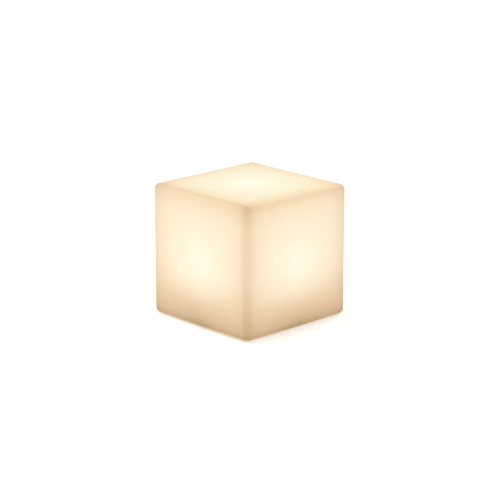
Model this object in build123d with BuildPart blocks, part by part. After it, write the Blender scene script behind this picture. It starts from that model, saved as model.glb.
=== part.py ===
"""Cordless cube light: a hollow opal cube that stands on four rubber feet, with a round light module
screwed up into a recess in its underside.

Millimetres, +Z up. The origin is on the floor, under the middle of the cube. The charging port
lies towards -X of the middle of the base, the charge indicator towards +X.
"""

import os

from build123d import *

# ---------------------------------------------------------------- cube shell (moulded polyethylene)
cube_side = 200.0
shell_height = 197.5
shell_wall = 3.0
edge_radius = 9.0  # rounding of the twelve outer edges
neck_radius = 52.0  # round opening that the light module goes up through
flange_width = 13.5  # flange of the module, round the neck, seated in the recess
recess_clearance = 0.5  # round the flange
recess_lip_radius = 1.5  # rounding where the recess meets the underside
flange_setback = 1.0  # the flange lies this far inside the underside

# ---------------------------------------------------------------- rubber feet
foot_radius = 8.0
foot_drop = 1.5  # how far a foot stands below the shell
foot_dimple = 1.0  # depth of the dimple that holds a foot
foot_inset = 26.0  # foot centre from the cube's sides
foot_rounding = 0.6

# ---------------------------------------------------------------- fasteners
thread_play = 0.05  # radial room between a plain modelled thread and its hole
m4_radius = 2.0
m4_head_radius = 3.9
m4_head_height = 2.6
m3_radius = 1.5
m3_head_radius = 2.8
m3_head_height = 1.9
m2_radius = 1.25
m2_head_radius = 2.2
m2_head_height = 1.6
hole_room = 0.2  # radial room round a screw in a plain hole, and round a countersunk head
head_room = 0.4  # radial room round a head in its counterbore
cross_length_share = 0.55  # length of the cross recess, as a share of the head's width
cross_width_share = 0.14  # width of each of its arms, as a share of the head's width
cross_depth_share = 0.55  # its depth, as a share of the head's height
head_rounding_share = 0.35  # rounding of a pan head, as a share of its height
tip_chamfer_share = 0.25  # chamfer of a screw's tip, as a share of its radius

# ---------------------------------------------------------------- module flange to shell
module_screw_count = 6
module_screw_length = 10.0
insert_radius = 3.0  # threaded brass insert moulded into the shell
insert_length = 8.0
insert_groove_depth = 0.4  # of the two grooves that the plastic grips
insert_groove_width = 1.0
insert_groove_rise = 2.2  # first groove above the insert's mouth, and between the two
boss_wall = 2.5
shell_gasket_thickness = 1.5
flange_thickness = 4.5
counterbore_depth = 2.8

# ---------------------------------------------------------------- module housing (upturned cup)
neck_clearance = 1.0
housing_wall = 2.5
deck_top_z = 39.0  # top of the deck that carries the light
deck_thickness = 2.5
deck_rim_radius = 1.0
ledge_width = 7.5  # ledge inside the cup's mouth, that the cover closes against
ledge_thickness = 2.5
cover_screw_count = 4
cover_screw_length = 12.0
cover_boss_radius = 3.5
cover_boss_height = 8.0

# ---------------------------------------------------------------- module cover
cover_thickness = 3.0
cover_clearance = 0.4
cover_gasket_thickness = 1.0
cover_rim_chamfer = 0.4
running_gap = 0.3  # between faces that move past each other

# ---------------------------------------------------------------- control board
board_thickness = 1.6
board_clearance = 3.0  # the board passes up through the ledge
standoff_height = 7.5
standoff_radius = 3.0
board_hole_inset = 5.0
board_screw_length = 6.0
board_screw_count = 4

# ---------------------------------------------------------------- power button and its switch
button_radius = 7.0
button_clearance = 0.3
button_setback = 0.6  # the button lies this far inside the cover
button_travel = 0.8
button_flange_width = 1.5
button_flange_thickness = 1.0
button_dish = 0.5  # depth of the finger dish
button_dish_radius = 5.2
button_rounding = 0.5
button_stem_radius = 2.5
button_seal_section = 0.55  # radius of the seal ring's round section
seal_squeeze = 0.05  # running room between the seal ring and the button
switch_side = 6.0
switch_height = 3.5
plunger_radius = 1.75
plunger_reach = 1.2  # how far the plunger stands out of the switch
plunger_depth = 1.6  # how far it goes into the switch

# ---------------------------------------------------------------- charging port and its door
port_offset = 26.0  # port centre from the middle of the base
port_length = 9.2  # metal shell of the charging socket
port_width = 3.4
port_metal = 0.4
port_tongue_length = 6.7
port_tongue_thickness = 0.7
port_mouth_depth = 3.8  # socket mouth above the cover's outer face
port_boss_height = 2.0  # raised pad on the cover's inner face, over the hinge and round the port
port_boss_wall = 2.0  # pad beyond the well and the hinge pin
hinge_reach = 12.0  # hinge axis from the port centre
door_length = 22.0  # hinge axis to free end
door_width = 15.0
door_thickness = 1.6
door_corner = 2.0
knuckle_radius = 1.1
hinge_relief = 1.3  # room behind the knuckle, into which the door swings
hinge_pin_radius = 0.5
hinge_pin_play = 0.05
hinge_pin_grip = 2.0  # length of pin held in the cover at each end
plug_length = 10.8  # silicone plug on the inside of the door
plug_width = 4.8
plug_height = 1.9
plug_taper = 4.0  # degrees
plug_room = 0.5  # round the plug, so that it can swing out
nail_notch_radius = 4.0

# ---------------------------------------------------------------- charge indicator
indicator_offset = 26.0
light_pipe_radius = 2.0
light_pipe_flange_radius = 3.5
light_pipe_flange_thickness = 1.0
light_pipe_tip_radius = 1.5
light_pipe_setback = 0.2
indicator_led_side = 3.0
indicator_led_height = 0.9

# ---------------------------------------------------------------- battery
cell_radius = 9.2
cell_rounding = 0.6
cell_nub_radius = 3.2
cell_nub_height = 1.0
cell_gap = 0.4  # between the two cells
cell_end_gap = 1.2  # between the cells' +X ends and the battery connector
cell_wall_gap = 8.0  # between the corners of their -X ends and the cup's wall
cell_top_gap = 0.8  # foam-tape thickness between cells and deck
cradle_clearance = 0.1
rib_thickness = 2.0
rib_spread = 34.0  # between the two cradle ribs
rib_margin = 1.5  # rib material beyond the cells
strip_thickness = 0.3
strip_width = 7.0
clamp_width = 16.0
clamp_floor = 1.5  # material under the cells
clamp_saddle = 5.2  # how far the saddle rises round the cells
clamp_wall = 0.75  # saddle beyond the cells
clamp_ear = 2.7
post_radius = 3.5
post_gap = 1.5
clamp_screw_length = 10.0

# ---------------------------------------------------------------- light engine on the deck
spreader_thickness = 2.0
spreader_clearance = 2.0
led_board_radius = 30.0
led_board_thickness = 1.6
led_side = 5.0
led_height = 1.6
led_window_radius = 2.0
led_window_depth = 0.3
outer_led_count = 12
outer_led_radius = 21.0
inner_led_count = 6
inner_led_radius = 10.0
led_screw_count = 3
led_screw_length = 6.0
led_screw_inset = 3.7

# ---------------------------------------------------------------- dome over the light engine
dome_wall = 2.0
dome_height = 21.0
dome_side_height = 11.0  # upright part of its wall
dome_flange_thickness = 2.5
dome_flange_inset = 1.0  # inside the deck's rim
dome_screw_count = 6
dome_screw_length = 8.0
dome_gasket_width = 2.0
dome_gasket_thickness = 1.2
dome_boss_radius = 3.0
dome_boss_height = 6.5

# ---------------------------------------------------------------- leads, connectors and parts on the board
lead_radius = 0.8
lead_spacing = 2.5
lead_bend = 2.0
lead_height = 4.5  # top of the light leads above the deck's spreader
lead_pad_inset = 3.0
connector_length = 8.0
connector_width = 5.8
connector_height = 9.5
connector_chamfer = 0.4
connector_inset = 2.0  # from the board's edge
grommet_inset = 5.0  # grommet centre from the heat spreader's edge
grommet_bore = 2.6
grommet_wall = 1.0
grommet_lip = 1.2
grommet_lip_thickness = 1.0
inductor_side = 10.0
inductor_height = 5.0
inductor_corner = 1.6
inductor_chamfer = 0.5
capacitor_radius = 4.0
capacitor_height = 11.0
capacitor_rounding = 0.5
chip_height = 1.6
chip_length = 10.0
chip_width = 6.0
chip_chamfer = 0.3
parts_x = 14.0  # the larger parts stand this far to each side of the board's middle
parts_inset = 10.5  # and this far inside the board's edge

# ---------------------------------------------------------------- heights and radii that follow
m4_hole_radius = m4_radius + hole_room
m3_hole_radius = m3_radius + hole_room
m2_hole_radius = m2_radius + hole_room
m3_countersink_radius = m3_head_radius + hole_room
shell_base_z = foot_drop
flange_radius = neck_radius + flange_width
flange_base_z = shell_base_z + flange_setback
flange_top_z = flange_base_z + flange_thickness
recess_floor_z = flange_top_z + shell_gasket_thickness
recess_radius = flange_radius + recess_clearance
counterbore_seat_z = flange_base_z + counterbore_depth
module_screw_circle = (neck_radius + flange_radius) / 2
insert_hole_depth = insert_length + shell_wall / 2

body_radius = neck_radius - neck_clearance
cup_radius = body_radius - housing_wall
deck_base_z = deck_top_z - deck_thickness
cover_base_z = flange_base_z
cover_top_z = cover_base_z + cover_thickness
cover_radius = cup_radius - cover_clearance
ledge_base_z = cover_top_z + cover_gasket_thickness
ledge_top_z = ledge_base_z + ledge_thickness
ledge_radius = cup_radius - ledge_width
cover_screw_circle = (cup_radius + ledge_radius) / 2

board_radius = ledge_radius - board_clearance
board_base_z = cover_top_z + standoff_height
board_top_z = board_base_z + board_thickness
board_screw_circle = board_radius - board_hole_inset

button_base_z = cover_base_z + button_setback
button_flange_z = cover_top_z + running_gap
button_flange_top_z = button_flange_z + button_flange_thickness
button_hole_radius = button_radius + button_clearance
seal_ring_radius = button_radius + seal_squeeze + button_seal_section
seal_ring_z = cover_base_z + cover_thickness / 2
switch_base_z = board_base_z - switch_height
plunger_base_z = switch_base_z - plunger_reach

hinge_x = -port_offset - hinge_reach
hinge_z = cover_base_z + knuckle_radius
door_top_z = cover_base_z + door_thickness
door_recess_z = door_top_z + running_gap
hinge_pocket_z = hinge_z + knuckle_radius + running_gap
port_mouth_z = cover_base_z + port_mouth_depth
port_inner_length = port_length - 2 * port_metal
port_inner_width = port_width - 2 * port_metal
port_boss_z = cover_top_z + port_boss_height
door_recess_start_x = hinge_x - knuckle_radius - hinge_relief
door_recess_end_x = hinge_x + door_length + running_gap
door_recess_width = door_width + 2 * running_gap
hinge_pin_length = door_recess_width + 2 * hinge_pin_grip
port_well_length = plug_length + 2 * plug_room
port_well_width = plug_width + 2 * plug_room
port_boss_start_x = door_recess_start_x - port_boss_wall
port_boss_end_x = -port_offset + port_well_width / 2 + port_boss_wall
port_boss_length = hinge_pin_length + port_boss_wall

light_pipe_reach = standoff_height - indicator_led_height - light_pipe_setback

battery_connector_x = board_radius - connector_width / 2 - connector_inset
cell_axis_z = deck_base_z - cell_top_gap - cell_radius
cell_base_z = cell_axis_z - cell_radius
cell_y = cell_radius + cell_gap / 2
cell_edge_y = cell_y + cell_radius
cell_start_x = -(((cup_radius - cell_wall_gap) ** 2 - cell_edge_y**2) ** 0.5)
cell_end_x = battery_connector_x - connector_width / 2 - cell_end_gap
cell_length = cell_end_x - cell_start_x
cell_middle_x = (cell_start_x + cell_end_x) / 2
clamp_base_z = cell_base_z - clamp_floor
clamp_ear_z = clamp_base_z + clamp_ear
post_y = cell_edge_y + post_gap + post_radius

spreader_top_z = deck_top_z + spreader_thickness
led_board_top_z = spreader_top_z + led_board_thickness
led_screw_circle = led_board_radius - led_screw_inset
dome_flange_radius = body_radius - dome_flange_inset
dome_screw_circle = dome_flange_radius - m2_head_radius - hole_room
dome_radius = dome_screw_circle - m2_head_radius - head_room
dome_side_z = deck_top_z + dome_side_height
dome_top_z = deck_top_z + dome_height
dome_rise = dome_height - dome_side_height
crown_radius = (dome_radius**2 + dome_rise**2) / (2 * dome_rise)
dome_gasket_radius = dome_radius - dome_wall + dome_gasket_width / 2
spreader_radius = dome_radius - dome_wall - spreader_clearance
connector_top_z = board_top_z + connector_height
light_connector_y = -(board_radius - connector_width / 2 - connector_inset)
parts_y = board_radius - parts_inset
grommet_y = -(spreader_radius - grommet_inset)
lead_top_z = spreader_top_z + lead_height
lead_pad_y = -(led_board_radius - lead_pad_inset)

BASE = (Align.CENTER, Align.CENTER, Align.MIN)
on_edge = 0.01  # an edge is found by its place to within this


# ---------------------------------------------------------------- shapes used more than once
def cross_recess(head_radius, head_height):
    """The space that a cross-head driver fills in a screw's head, with its mouth at z = 0."""
    arm_length = 2 * head_radius * cross_length_share
    arm_width = 2 * head_radius * cross_width_share
    with BuildPart() as recess:
        with BuildSketch(Plane.XY):
            Rectangle(arm_length, arm_width)
            Rectangle(arm_width, arm_length)
        extrude(amount=head_height * cross_depth_share)
    return recess.part


def pan_screw(radius, head_radius, head_height, length):
    """A pan-head screw driven upwards: the head's seat is at z = 0 and the thread goes up from it."""
    with BuildPart() as screw:
        with BuildSketch(Plane.XY.offset(-head_height)):
            Circle(head_radius)
        extrude(amount=head_height)
        fillet(screw.edges().group_by(Axis.Z)[0], radius=head_height * head_rounding_share)
        with BuildSketch(Plane.XY):
            Circle(radius)
        extrude(amount=length)
        chamfer(screw.edges().group_by(Axis.Z)[-1], length=radius * tip_chamfer_share)
        with Locations((0, 0, -head_height)):
            add(cross_recess(head_radius, head_height), mode=Mode.SUBTRACT)
    return screw.part


def flat_screw(radius, head_radius, length):
    """A countersunk screw driven upwards: the head's flat face is at z = 0 and the thread goes up."""
    with BuildPart() as screw:
        with BuildSketch(Plane.XZ):
            with BuildLine():
                Polyline(
                    (0, 0),
                    (head_radius, 0),
                    (radius, head_radius - radius),
                    (radius, length),
                    (0, length),
                    close=True,
                )
            make_face()
        revolve(axis=Axis.Z)
        add(cross_recess(head_radius, head_radius - radius), mode=Mode.SUBTRACT)
    return screw.part


def flat_ring(outer, inner, base_z, thickness):
    """A washer-shaped gasket."""
    with BuildPart() as ring:
        with BuildSketch(Plane.XY.offset(base_z)):
            Circle(outer)
            Circle(inner, mode=Mode.SUBTRACT)
        extrude(amount=thickness)
    return ring.part


def lead(*points):
    """An insulated lead that follows the points, with a round bend at each corner between them."""
    with BuildPart() as wire:
        with BuildLine() as route:
            FilletPolyline(*points, radius=lead_bend)
        with BuildSketch(Plane(origin=route.line @ 0, z_dir=route.line % 0)):
            Circle(lead_radius)
        sweep()
    return wire.part


m4_screw = pan_screw(m4_radius, m4_head_radius, m4_head_height, module_screw_length)
m3_flat_screw = flat_screw(m3_radius, m3_head_radius, cover_screw_length)
m3_clamp_screw = flat_screw(m3_radius, m3_head_radius, clamp_screw_length)
m3_led_screw = pan_screw(m3_radius, m3_head_radius, m3_head_height, led_screw_length)
m2_board_screw = pan_screw(m2_radius, m2_head_radius, m2_head_height, board_screw_length)
m2_dome_screw = pan_screw(m2_radius, m2_head_radius, m2_head_height, dome_screw_length)

# ---------------------------------------------------------------- cube shell
with BuildPart() as shell_cavity:
    with Locations((0, 0, shell_base_z + shell_wall)):
        Box(cube_side - 2 * shell_wall, cube_side - 2 * shell_wall, shell_height - 2 * shell_wall, align=BASE)
    fillet(shell_cavity.edges(), radius=edge_radius - shell_wall)

with BuildPart() as diffuser_shell:
    with Locations((0, 0, shell_base_z)):
        Box(cube_side, cube_side, shell_height, align=BASE)
    fillet(diffuser_shell.edges(), radius=edge_radius)
    add(shell_cavity.part, mode=Mode.SUBTRACT)
    # The wall steps up into a round recess, with a boss over each threaded insert.
    with BuildSketch(Plane.XY.offset(shell_base_z)):
        Circle(recess_radius + shell_wall)
    extrude(amount=recess_floor_z + shell_wall - shell_base_z)
    with BuildSketch(Plane.XY.offset(recess_floor_z)):
        with PolarLocations(module_screw_circle, module_screw_count):
            Circle(insert_radius + boss_wall)
    extrude(amount=insert_hole_depth + boss_wall)
    with BuildSketch(Plane.XY.offset(shell_base_z)):
        Circle(recess_radius)
    extrude(amount=recess_floor_z - shell_base_z, mode=Mode.SUBTRACT)
    with BuildSketch(Plane.XY.offset(recess_floor_z)):
        Circle(neck_radius)
    extrude(amount=insert_hole_depth + boss_wall, mode=Mode.SUBTRACT)
    with BuildSketch(Plane.XY.offset(recess_floor_z)):
        with PolarLocations(module_screw_circle, module_screw_count):
            Circle(insert_radius)
    extrude(amount=insert_hole_depth, mode=Mode.SUBTRACT)
    with BuildSketch(Plane.XY.offset(shell_base_z)):
        with GridLocations(cube_side - 2 * foot_inset, cube_side - 2 * foot_inset, 2, 2):
            Circle(foot_radius)
    extrude(amount=foot_dimple, mode=Mode.SUBTRACT)
    rings = diffuser_shell.edges().filter_by(GeomType.CIRCLE)
    rings_at_base = rings.filter_by(lambda e: abs(e.center().Z - shell_base_z) < on_edge)
    recess_mouth = rings_at_base.filter_by(lambda e: abs(e.radius - recess_radius) < on_edge)
    fillet(recess_mouth, radius=recess_lip_radius)
diffuser_shell.part.label = "diffuser_shell"

with BuildPart() as shell_inserts:
    with BuildSketch(Plane.XY.offset(recess_floor_z)):
        with PolarLocations(module_screw_circle, module_screw_count):
            Circle(insert_radius)
    extrude(amount=insert_length)
    for groove_z in (recess_floor_z + insert_groove_rise, recess_floor_z + 2 * insert_groove_rise):
        with BuildSketch(Plane.XY.offset(groove_z)):
            with PolarLocations(module_screw_circle, module_screw_count):
                Circle(insert_radius)
                Circle(insert_radius - insert_groove_depth, mode=Mode.SUBTRACT)
        extrude(amount=insert_groove_width, mode=Mode.SUBTRACT)
    with BuildSketch(Plane.XY.offset(recess_floor_z)):
        with PolarLocations(module_screw_circle, module_screw_count):
            Circle(m4_radius + thread_play)
    extrude(amount=insert_length, mode=Mode.SUBTRACT)
shell_inserts.part.label = "shell_inserts"

# ---------------------------------------------------------------- feet
foot_names = ("foot_front_left", "foot_front_right", "foot_back_left", "foot_back_right")
foot_reach = cube_side / 2 - foot_inset
foot_places = [(x, y) for y in (-foot_reach, foot_reach) for x in (-foot_reach, foot_reach)]
feet = []
for foot_name, (foot_x, foot_y) in zip(foot_names, foot_places):
    with BuildPart() as foot:
        with Locations((foot_x, foot_y, 0)):
            Cylinder(foot_radius, foot_drop + foot_dimple, align=BASE)
        fillet(foot.edges().group_by(Axis.Z)[0], radius=foot_rounding)
    foot.part.label = foot_name
    feet.append(foot)

# ---------------------------------------------------------------- module housing
with BuildPart() as module_housing:
    with BuildSketch(Plane.XY.offset(flange_base_z)):
        Circle(body_radius)
    extrude(amount=deck_top_z - flange_base_z)
    fillet(module_housing.edges().group_by(Axis.Z)[-1], radius=deck_rim_radius)
    with BuildSketch(Plane.XY.offset(flange_base_z)):
        Circle(flange_radius)
    extrude(amount=flange_thickness)
    with BuildSketch(Plane.XY.offset(flange_base_z)):
        Circle(cup_radius)
    extrude(amount=deck_base_z - flange_base_z, mode=Mode.SUBTRACT)
    # Ledge and bosses that the cover screws to.
    with BuildSketch(Plane.XY.offset(ledge_base_z)):
        Circle(cup_radius + housing_wall / 2)
        Circle(ledge_radius, mode=Mode.SUBTRACT)
    extrude(amount=ledge_thickness)
    with BuildSketch(Plane.XY.offset(ledge_top_z)):
        with PolarLocations(cover_screw_circle, cover_screw_count, start_angle=45):
            Circle(cover_boss_radius)
    extrude(amount=cover_boss_height)
    # Bosses under the deck's rim for the dome's screws.
    with BuildSketch(Plane.XY.offset(deck_base_z - dome_boss_height)):
        with PolarLocations(dome_screw_circle, dome_screw_count):
            Circle(dome_boss_radius)
    extrude(amount=dome_boss_height)
    # Cradle ribs that seat the cells, and posts for the clamp.
    for rib_side in (-1, 1):
        with BuildSketch(Plane.YZ.offset(cell_middle_x + rib_side * rib_spread / 2)):
            with Locations((0, (cell_axis_z + deck_base_z) / 2)):
                Rectangle(2 * (cell_edge_y + rib_margin), deck_base_z - cell_axis_z)
            with Locations((-cell_y, cell_axis_z), (cell_y, cell_axis_z)):
                Circle(cell_radius + cradle_clearance, mode=Mode.SUBTRACT)
        extrude(amount=rib_thickness / 2, both=True)
    with BuildSketch(Plane.XY.offset(clamp_ear_z)):
        with Locations((0, -post_y), (0, post_y)):
            Circle(post_radius)
    extrude(amount=deck_base_z - clamp_ear_z)
    # Screw holes.
    with BuildSketch(Plane.XY.offset(clamp_ear_z)):
        with Locations((0, -post_y), (0, post_y)):
            Circle(m3_radius + thread_play)
    extrude(amount=clamp_screw_length, mode=Mode.SUBTRACT)
    with BuildSketch(Plane.XY.offset(ledge_base_z)):
        with PolarLocations(cover_screw_circle, cover_screw_count, start_angle=45):
            Circle(m3_radius + thread_play)
    extrude(amount=cover_screw_length - cover_gasket_thickness, mode=Mode.SUBTRACT)
    with BuildSketch(Plane.XY.offset(deck_top_z)):
        with PolarLocations(dome_screw_circle, dome_screw_count):
            Circle(m2_radius + thread_play)
    extrude(amount=-dome_screw_length, mode=Mode.SUBTRACT)
    with BuildSketch(Plane.XY.offset(deck_top_z)):
        with PolarLocations(led_screw_circle, led_screw_count, start_angle=90):
            Circle(m3_radius + thread_play)
        with Locations((0, grommet_y)):
            Circle(grommet_bore + grommet_wall)
    extrude(amount=-deck_thickness, mode=Mode.SUBTRACT)
    with Locations(-Plane.XY.offset(flange_base_z)):
        with PolarLocations(module_screw_circle, module_screw_count):
            CounterBoreHole(m4_hole_radius, m4_head_radius + head_room, counterbore_depth, flange_thickness)
    # Groove for the dome's gasket.
    with BuildSketch(Plane.XY.offset(deck_top_z)):
        Circle(dome_gasket_radius + dome_gasket_width / 2)
        Circle(dome_gasket_radius - dome_gasket_width / 2, mode=Mode.SUBTRACT)
    extrude(amount=-dome_gasket_thickness, mode=Mode.SUBTRACT)
module_housing.part.label = "module_housing"

with BuildPart() as shell_gasket:
    add(flat_ring(flange_radius, neck_radius, flange_top_z, shell_gasket_thickness))
    with BuildSketch(Plane.XY.offset(flange_top_z)):
        with PolarLocations(module_screw_circle, module_screw_count):
            Circle(m4_hole_radius)
    extrude(amount=shell_gasket_thickness, mode=Mode.SUBTRACT)
shell_gasket.part.label = "shell_gasket"

with BuildPart() as module_screws:
    with Locations((0, 0, counterbore_seat_z)):
        with PolarLocations(module_screw_circle, module_screw_count):
            add(m4_screw)
module_screws.part.label = "module_screws"

# ---------------------------------------------------------------- module cover
with BuildPart() as module_cover:
    with BuildSketch(Plane.XY.offset(cover_base_z)):
        Circle(cover_radius)
    extrude(amount=cover_thickness)
    chamfer(module_cover.edges().group_by(Axis.Z)[0], length=cover_rim_chamfer)
    with BuildSketch(Plane.XY.offset(cover_top_z)):
        with PolarLocations(board_screw_circle, board_screw_count, start_angle=45):
            Circle(standoff_radius)
    extrude(amount=standoff_height)
    # Raised pad over the door's hinge and round the charging socket.
    with BuildSketch(Plane.XY.offset(cover_top_z)):
        with Locations(((port_boss_start_x + port_boss_end_x) / 2, 0)):
            RectangleRounded(port_boss_end_x - port_boss_start_x, port_boss_length, door_corner)
        Circle(ledge_radius - running_gap, mode=Mode.INTERSECT)
    extrude(amount=port_boss_height)
    # Power button: its hole, with a groove for the seal ring.
    with BuildSketch(Plane.XY.offset(cover_base_z)):
        Circle(button_hole_radius)
    extrude(amount=cover_thickness, mode=Mode.SUBTRACT)
    with BuildSketch(Plane.XY.offset(seal_ring_z - button_seal_section)):
        Circle(seal_ring_radius + button_seal_section)
    extrude(amount=2 * button_seal_section, mode=Mode.SUBTRACT)
    # Charging port: the door's recess, the hinge's pocket and the well down to the socket.
    with BuildSketch(Plane.XY.offset(cover_base_z)):
        with Locations(((door_recess_start_x + door_recess_end_x) / 2, 0)):
            RectangleRounded(door_recess_end_x - door_recess_start_x, door_recess_width, door_corner)
        with Locations((door_recess_end_x, 0)):
            Circle(nail_notch_radius)
    extrude(amount=door_recess_z - cover_base_z, mode=Mode.SUBTRACT)
    with BuildSketch(Plane.XY.offset(cover_base_z)):
        with Locations(((door_recess_start_x + hinge_x + knuckle_radius + running_gap) / 2, 0)):
            Rectangle(hinge_x + knuckle_radius + running_gap - door_recess_start_x, door_recess_width)
    extrude(amount=hinge_pocket_z - cover_base_z, mode=Mode.SUBTRACT)
    with BuildSketch(Plane.XY.offset(cover_base_z)):
        with Locations((-port_offset, 0)):
            SlotOverall(port_well_length, port_well_width, rotation=90)
    extrude(amount=port_boss_z - cover_base_z, mode=Mode.SUBTRACT)
    with BuildSketch(Plane.XZ):
        with Locations((hinge_x, hinge_z)):
            Circle(hinge_pin_radius + hinge_pin_play / 2)
    extrude(amount=hinge_pin_length / 2, both=True, mode=Mode.SUBTRACT)
    # Charge indicator.
    with BuildSketch(Plane.XY.offset(cover_base_z)):
        with Locations((indicator_offset, 0)):
            Circle(light_pipe_radius + thread_play)
    extrude(amount=cover_thickness, mode=Mode.SUBTRACT)
    # Screws: countersunk from outside, and threaded into the standoffs.
    with Locations(-Plane.XY.offset(cover_base_z)):
        with PolarLocations(cover_screw_circle, cover_screw_count, start_angle=45):
            CounterSinkHole(m3_hole_radius, m3_countersink_radius, cover_thickness, counter_sink_angle=90)
    with BuildSketch(Plane.XY.offset(board_base_z)):
        with PolarLocations(board_screw_circle, board_screw_count, start_angle=45):
            Circle(m2_radius + thread_play)
    extrude(amount=-board_screw_length, mode=Mode.SUBTRACT)
module_cover.part.label = "module_cover"

with BuildPart() as cover_gasket:
    add(flat_ring(cup_radius - cover_clearance, ledge_radius, cover_top_z, cover_gasket_thickness))
    with BuildSketch(Plane.XY.offset(cover_top_z)):
        with PolarLocations(cover_screw_circle, cover_screw_count, start_angle=45):
            Circle(m3_hole_radius)
    extrude(amount=cover_gasket_thickness, mode=Mode.SUBTRACT)
cover_gasket.part.label = "cover_gasket"

with BuildPart() as cover_screws:
    with Locations((0, 0, cover_base_z)):
        with PolarLocations(cover_screw_circle, cover_screw_count, start_angle=45):
            add(m3_flat_screw)
cover_screws.part.label = "cover_screws"

# ---------------------------------------------------------------- control board and what it carries
with BuildPart() as control_board:
    with BuildSketch(Plane.XY.offset(board_base_z)):
        Circle(board_radius)
        with PolarLocations(board_screw_circle, board_screw_count, start_angle=45):
            Circle(m2_hole_radius, mode=Mode.SUBTRACT)
    extrude(amount=board_thickness)
control_board.part.label = "control_board"

with BuildPart() as board_screws:
    with Locations((0, 0, board_top_z)):
        with PolarLocations(board_screw_circle, board_screw_count, start_angle=45):
            add(m2_board_screw, rotation=(180, 0, 0))
board_screws.part.label = "board_screws"

with BuildPart() as power_switch:
    with BuildSketch(Plane.XY.offset(switch_base_z)):
        Rectangle(switch_side, switch_side)
    extrude(amount=switch_height)
    with BuildSketch(Plane.XY.offset(switch_base_z)):
        Circle(plunger_radius + thread_play)
    extrude(amount=plunger_depth + button_travel + running_gap, mode=Mode.SUBTRACT)
power_switch.part.label = "power_switch"

with BuildPart() as charging_socket:
    with BuildSketch(Plane.XY.offset(port_mouth_z)):
        with Locations((-port_offset, 0)):
            SlotOverall(port_length, port_width, rotation=90)
            SlotOverall(port_inner_length, port_inner_width, rotation=90, mode=Mode.SUBTRACT)
    extrude(amount=board_base_z - port_mouth_z)
    with BuildSketch(Plane.XY.offset(board_base_z)):
        with Locations((-port_offset, 0)):
            SlotOverall(port_length, port_width, rotation=90)
    extrude(amount=-port_metal)
    with BuildSketch(Plane.XY.offset(board_base_z)):
        with Locations((-port_offset, 0)):
            Rectangle(port_tongue_thickness, port_tongue_length)
    extrude(amount=-(board_base_z - port_mouth_z - port_metal))
charging_socket.part.label = "charging_socket"

with BuildPart() as indicator_led:
    with BuildSketch(Plane.XY.offset(board_base_z)):
        with Locations((indicator_offset, 0)):
            Rectangle(indicator_led_side, indicator_led_side)
    extrude(amount=-indicator_led_height)
indicator_led.part.label = "indicator_led"

with BuildPart() as light_pipe:
    with Locations((indicator_offset, 0, cover_base_z + light_pipe_setback)):
        Cylinder(light_pipe_radius, cover_thickness - light_pipe_setback, align=BASE)
    with Locations((indicator_offset, 0, cover_top_z)):
        Cylinder(light_pipe_flange_radius, light_pipe_flange_thickness, align=BASE)
        Cylinder(light_pipe_tip_radius, light_pipe_reach, align=BASE)
light_pipe.part.label = "light_pipe"

with BuildPart() as control_chips:
    with BuildSketch(Plane.XY.offset(board_top_z)):
        with Locations((parts_x, -parts_y), (-parts_x, parts_y)):
            Rectangle(chip_length, chip_width)
    extrude(amount=chip_height)
    chamfer(control_chips.edges().group_by(Axis.Z)[-1], length=chip_chamfer)
control_chips.part.label = "control_chips"

with BuildPart() as driver_inductor:
    with BuildSketch(Plane.XY.offset(board_top_z)):
        with Locations((-parts_x, -parts_y)):
            RectangleRounded(inductor_side, inductor_side, inductor_corner)
    extrude(amount=inductor_height)
    chamfer(driver_inductor.edges().group_by(Axis.Z)[-1], length=inductor_chamfer)
driver_inductor.part.label = "driver_inductor"

with BuildPart() as smoothing_capacitor:
    with Locations((parts_x, parts_y, board_top_z)):
        Cylinder(capacitor_radius, capacitor_height, align=BASE)
    fillet(smoothing_capacitor.edges().group_by(Axis.Z)[-1], radius=capacitor_rounding)
smoothing_capacitor.part.label = "smoothing_capacitor"

with BuildPart() as light_connector:
    with BuildSketch(Plane.XY.offset(board_top_z)):
        with Locations((0, light_connector_y)):
            Rectangle(connector_length, connector_width)
    extrude(amount=connector_height)
    chamfer(light_connector.edges().group_by(Axis.Z)[-1], length=connector_chamfer)
light_connector.part.label = "light_connector"

with BuildPart() as battery_connector:
    with BuildSketch(Plane.XY.offset(board_top_z)):
        with Locations((battery_connector_x, 0)):
            Rectangle(connector_width, connector_length)
    extrude(amount=connector_height)
    chamfer(battery_connector.edges().group_by(Axis.Z)[-1], length=connector_chamfer)
battery_connector.part.label = "battery_connector"

# ---------------------------------------------------------------- power button
with BuildPart() as button_cap:
    with BuildSketch(Plane.XY.offset(button_base_z)):
        Circle(button_radius)
    extrude(amount=button_flange_top_z - button_base_z)
    fillet(button_cap.edges().group_by(Axis.Z)[0], radius=button_rounding)
    with BuildSketch(Plane.XY.offset(button_flange_z)):
        Circle(button_radius + button_flange_width)
    extrude(amount=button_flange_thickness)
    with BuildSketch(Plane.XY.offset(button_flange_top_z)):
        Circle(button_stem_radius)
    extrude(amount=plunger_base_z - button_flange_top_z)
    # Shallow round dish for the finger.
    dish_ball = (button_dish_radius**2 + button_dish**2) / (2 * button_dish)
    with Locations((0, 0, button_base_z + button_dish - dish_ball)):
        Sphere(dish_ball, mode=Mode.SUBTRACT)
button_cap.part.label = "button_cap"

with BuildPart() as switch_plunger:
    with Locations((0, 0, plunger_base_z)):
        Cylinder(plunger_radius, plunger_reach + plunger_depth, align=BASE)
switch_plunger.part.label = "switch_plunger"

with BuildPart() as button_seal:
    with Locations((0, 0, seal_ring_z)):
        Torus(seal_ring_radius, button_seal_section)
button_seal.part.label = "button_seal"

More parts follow.
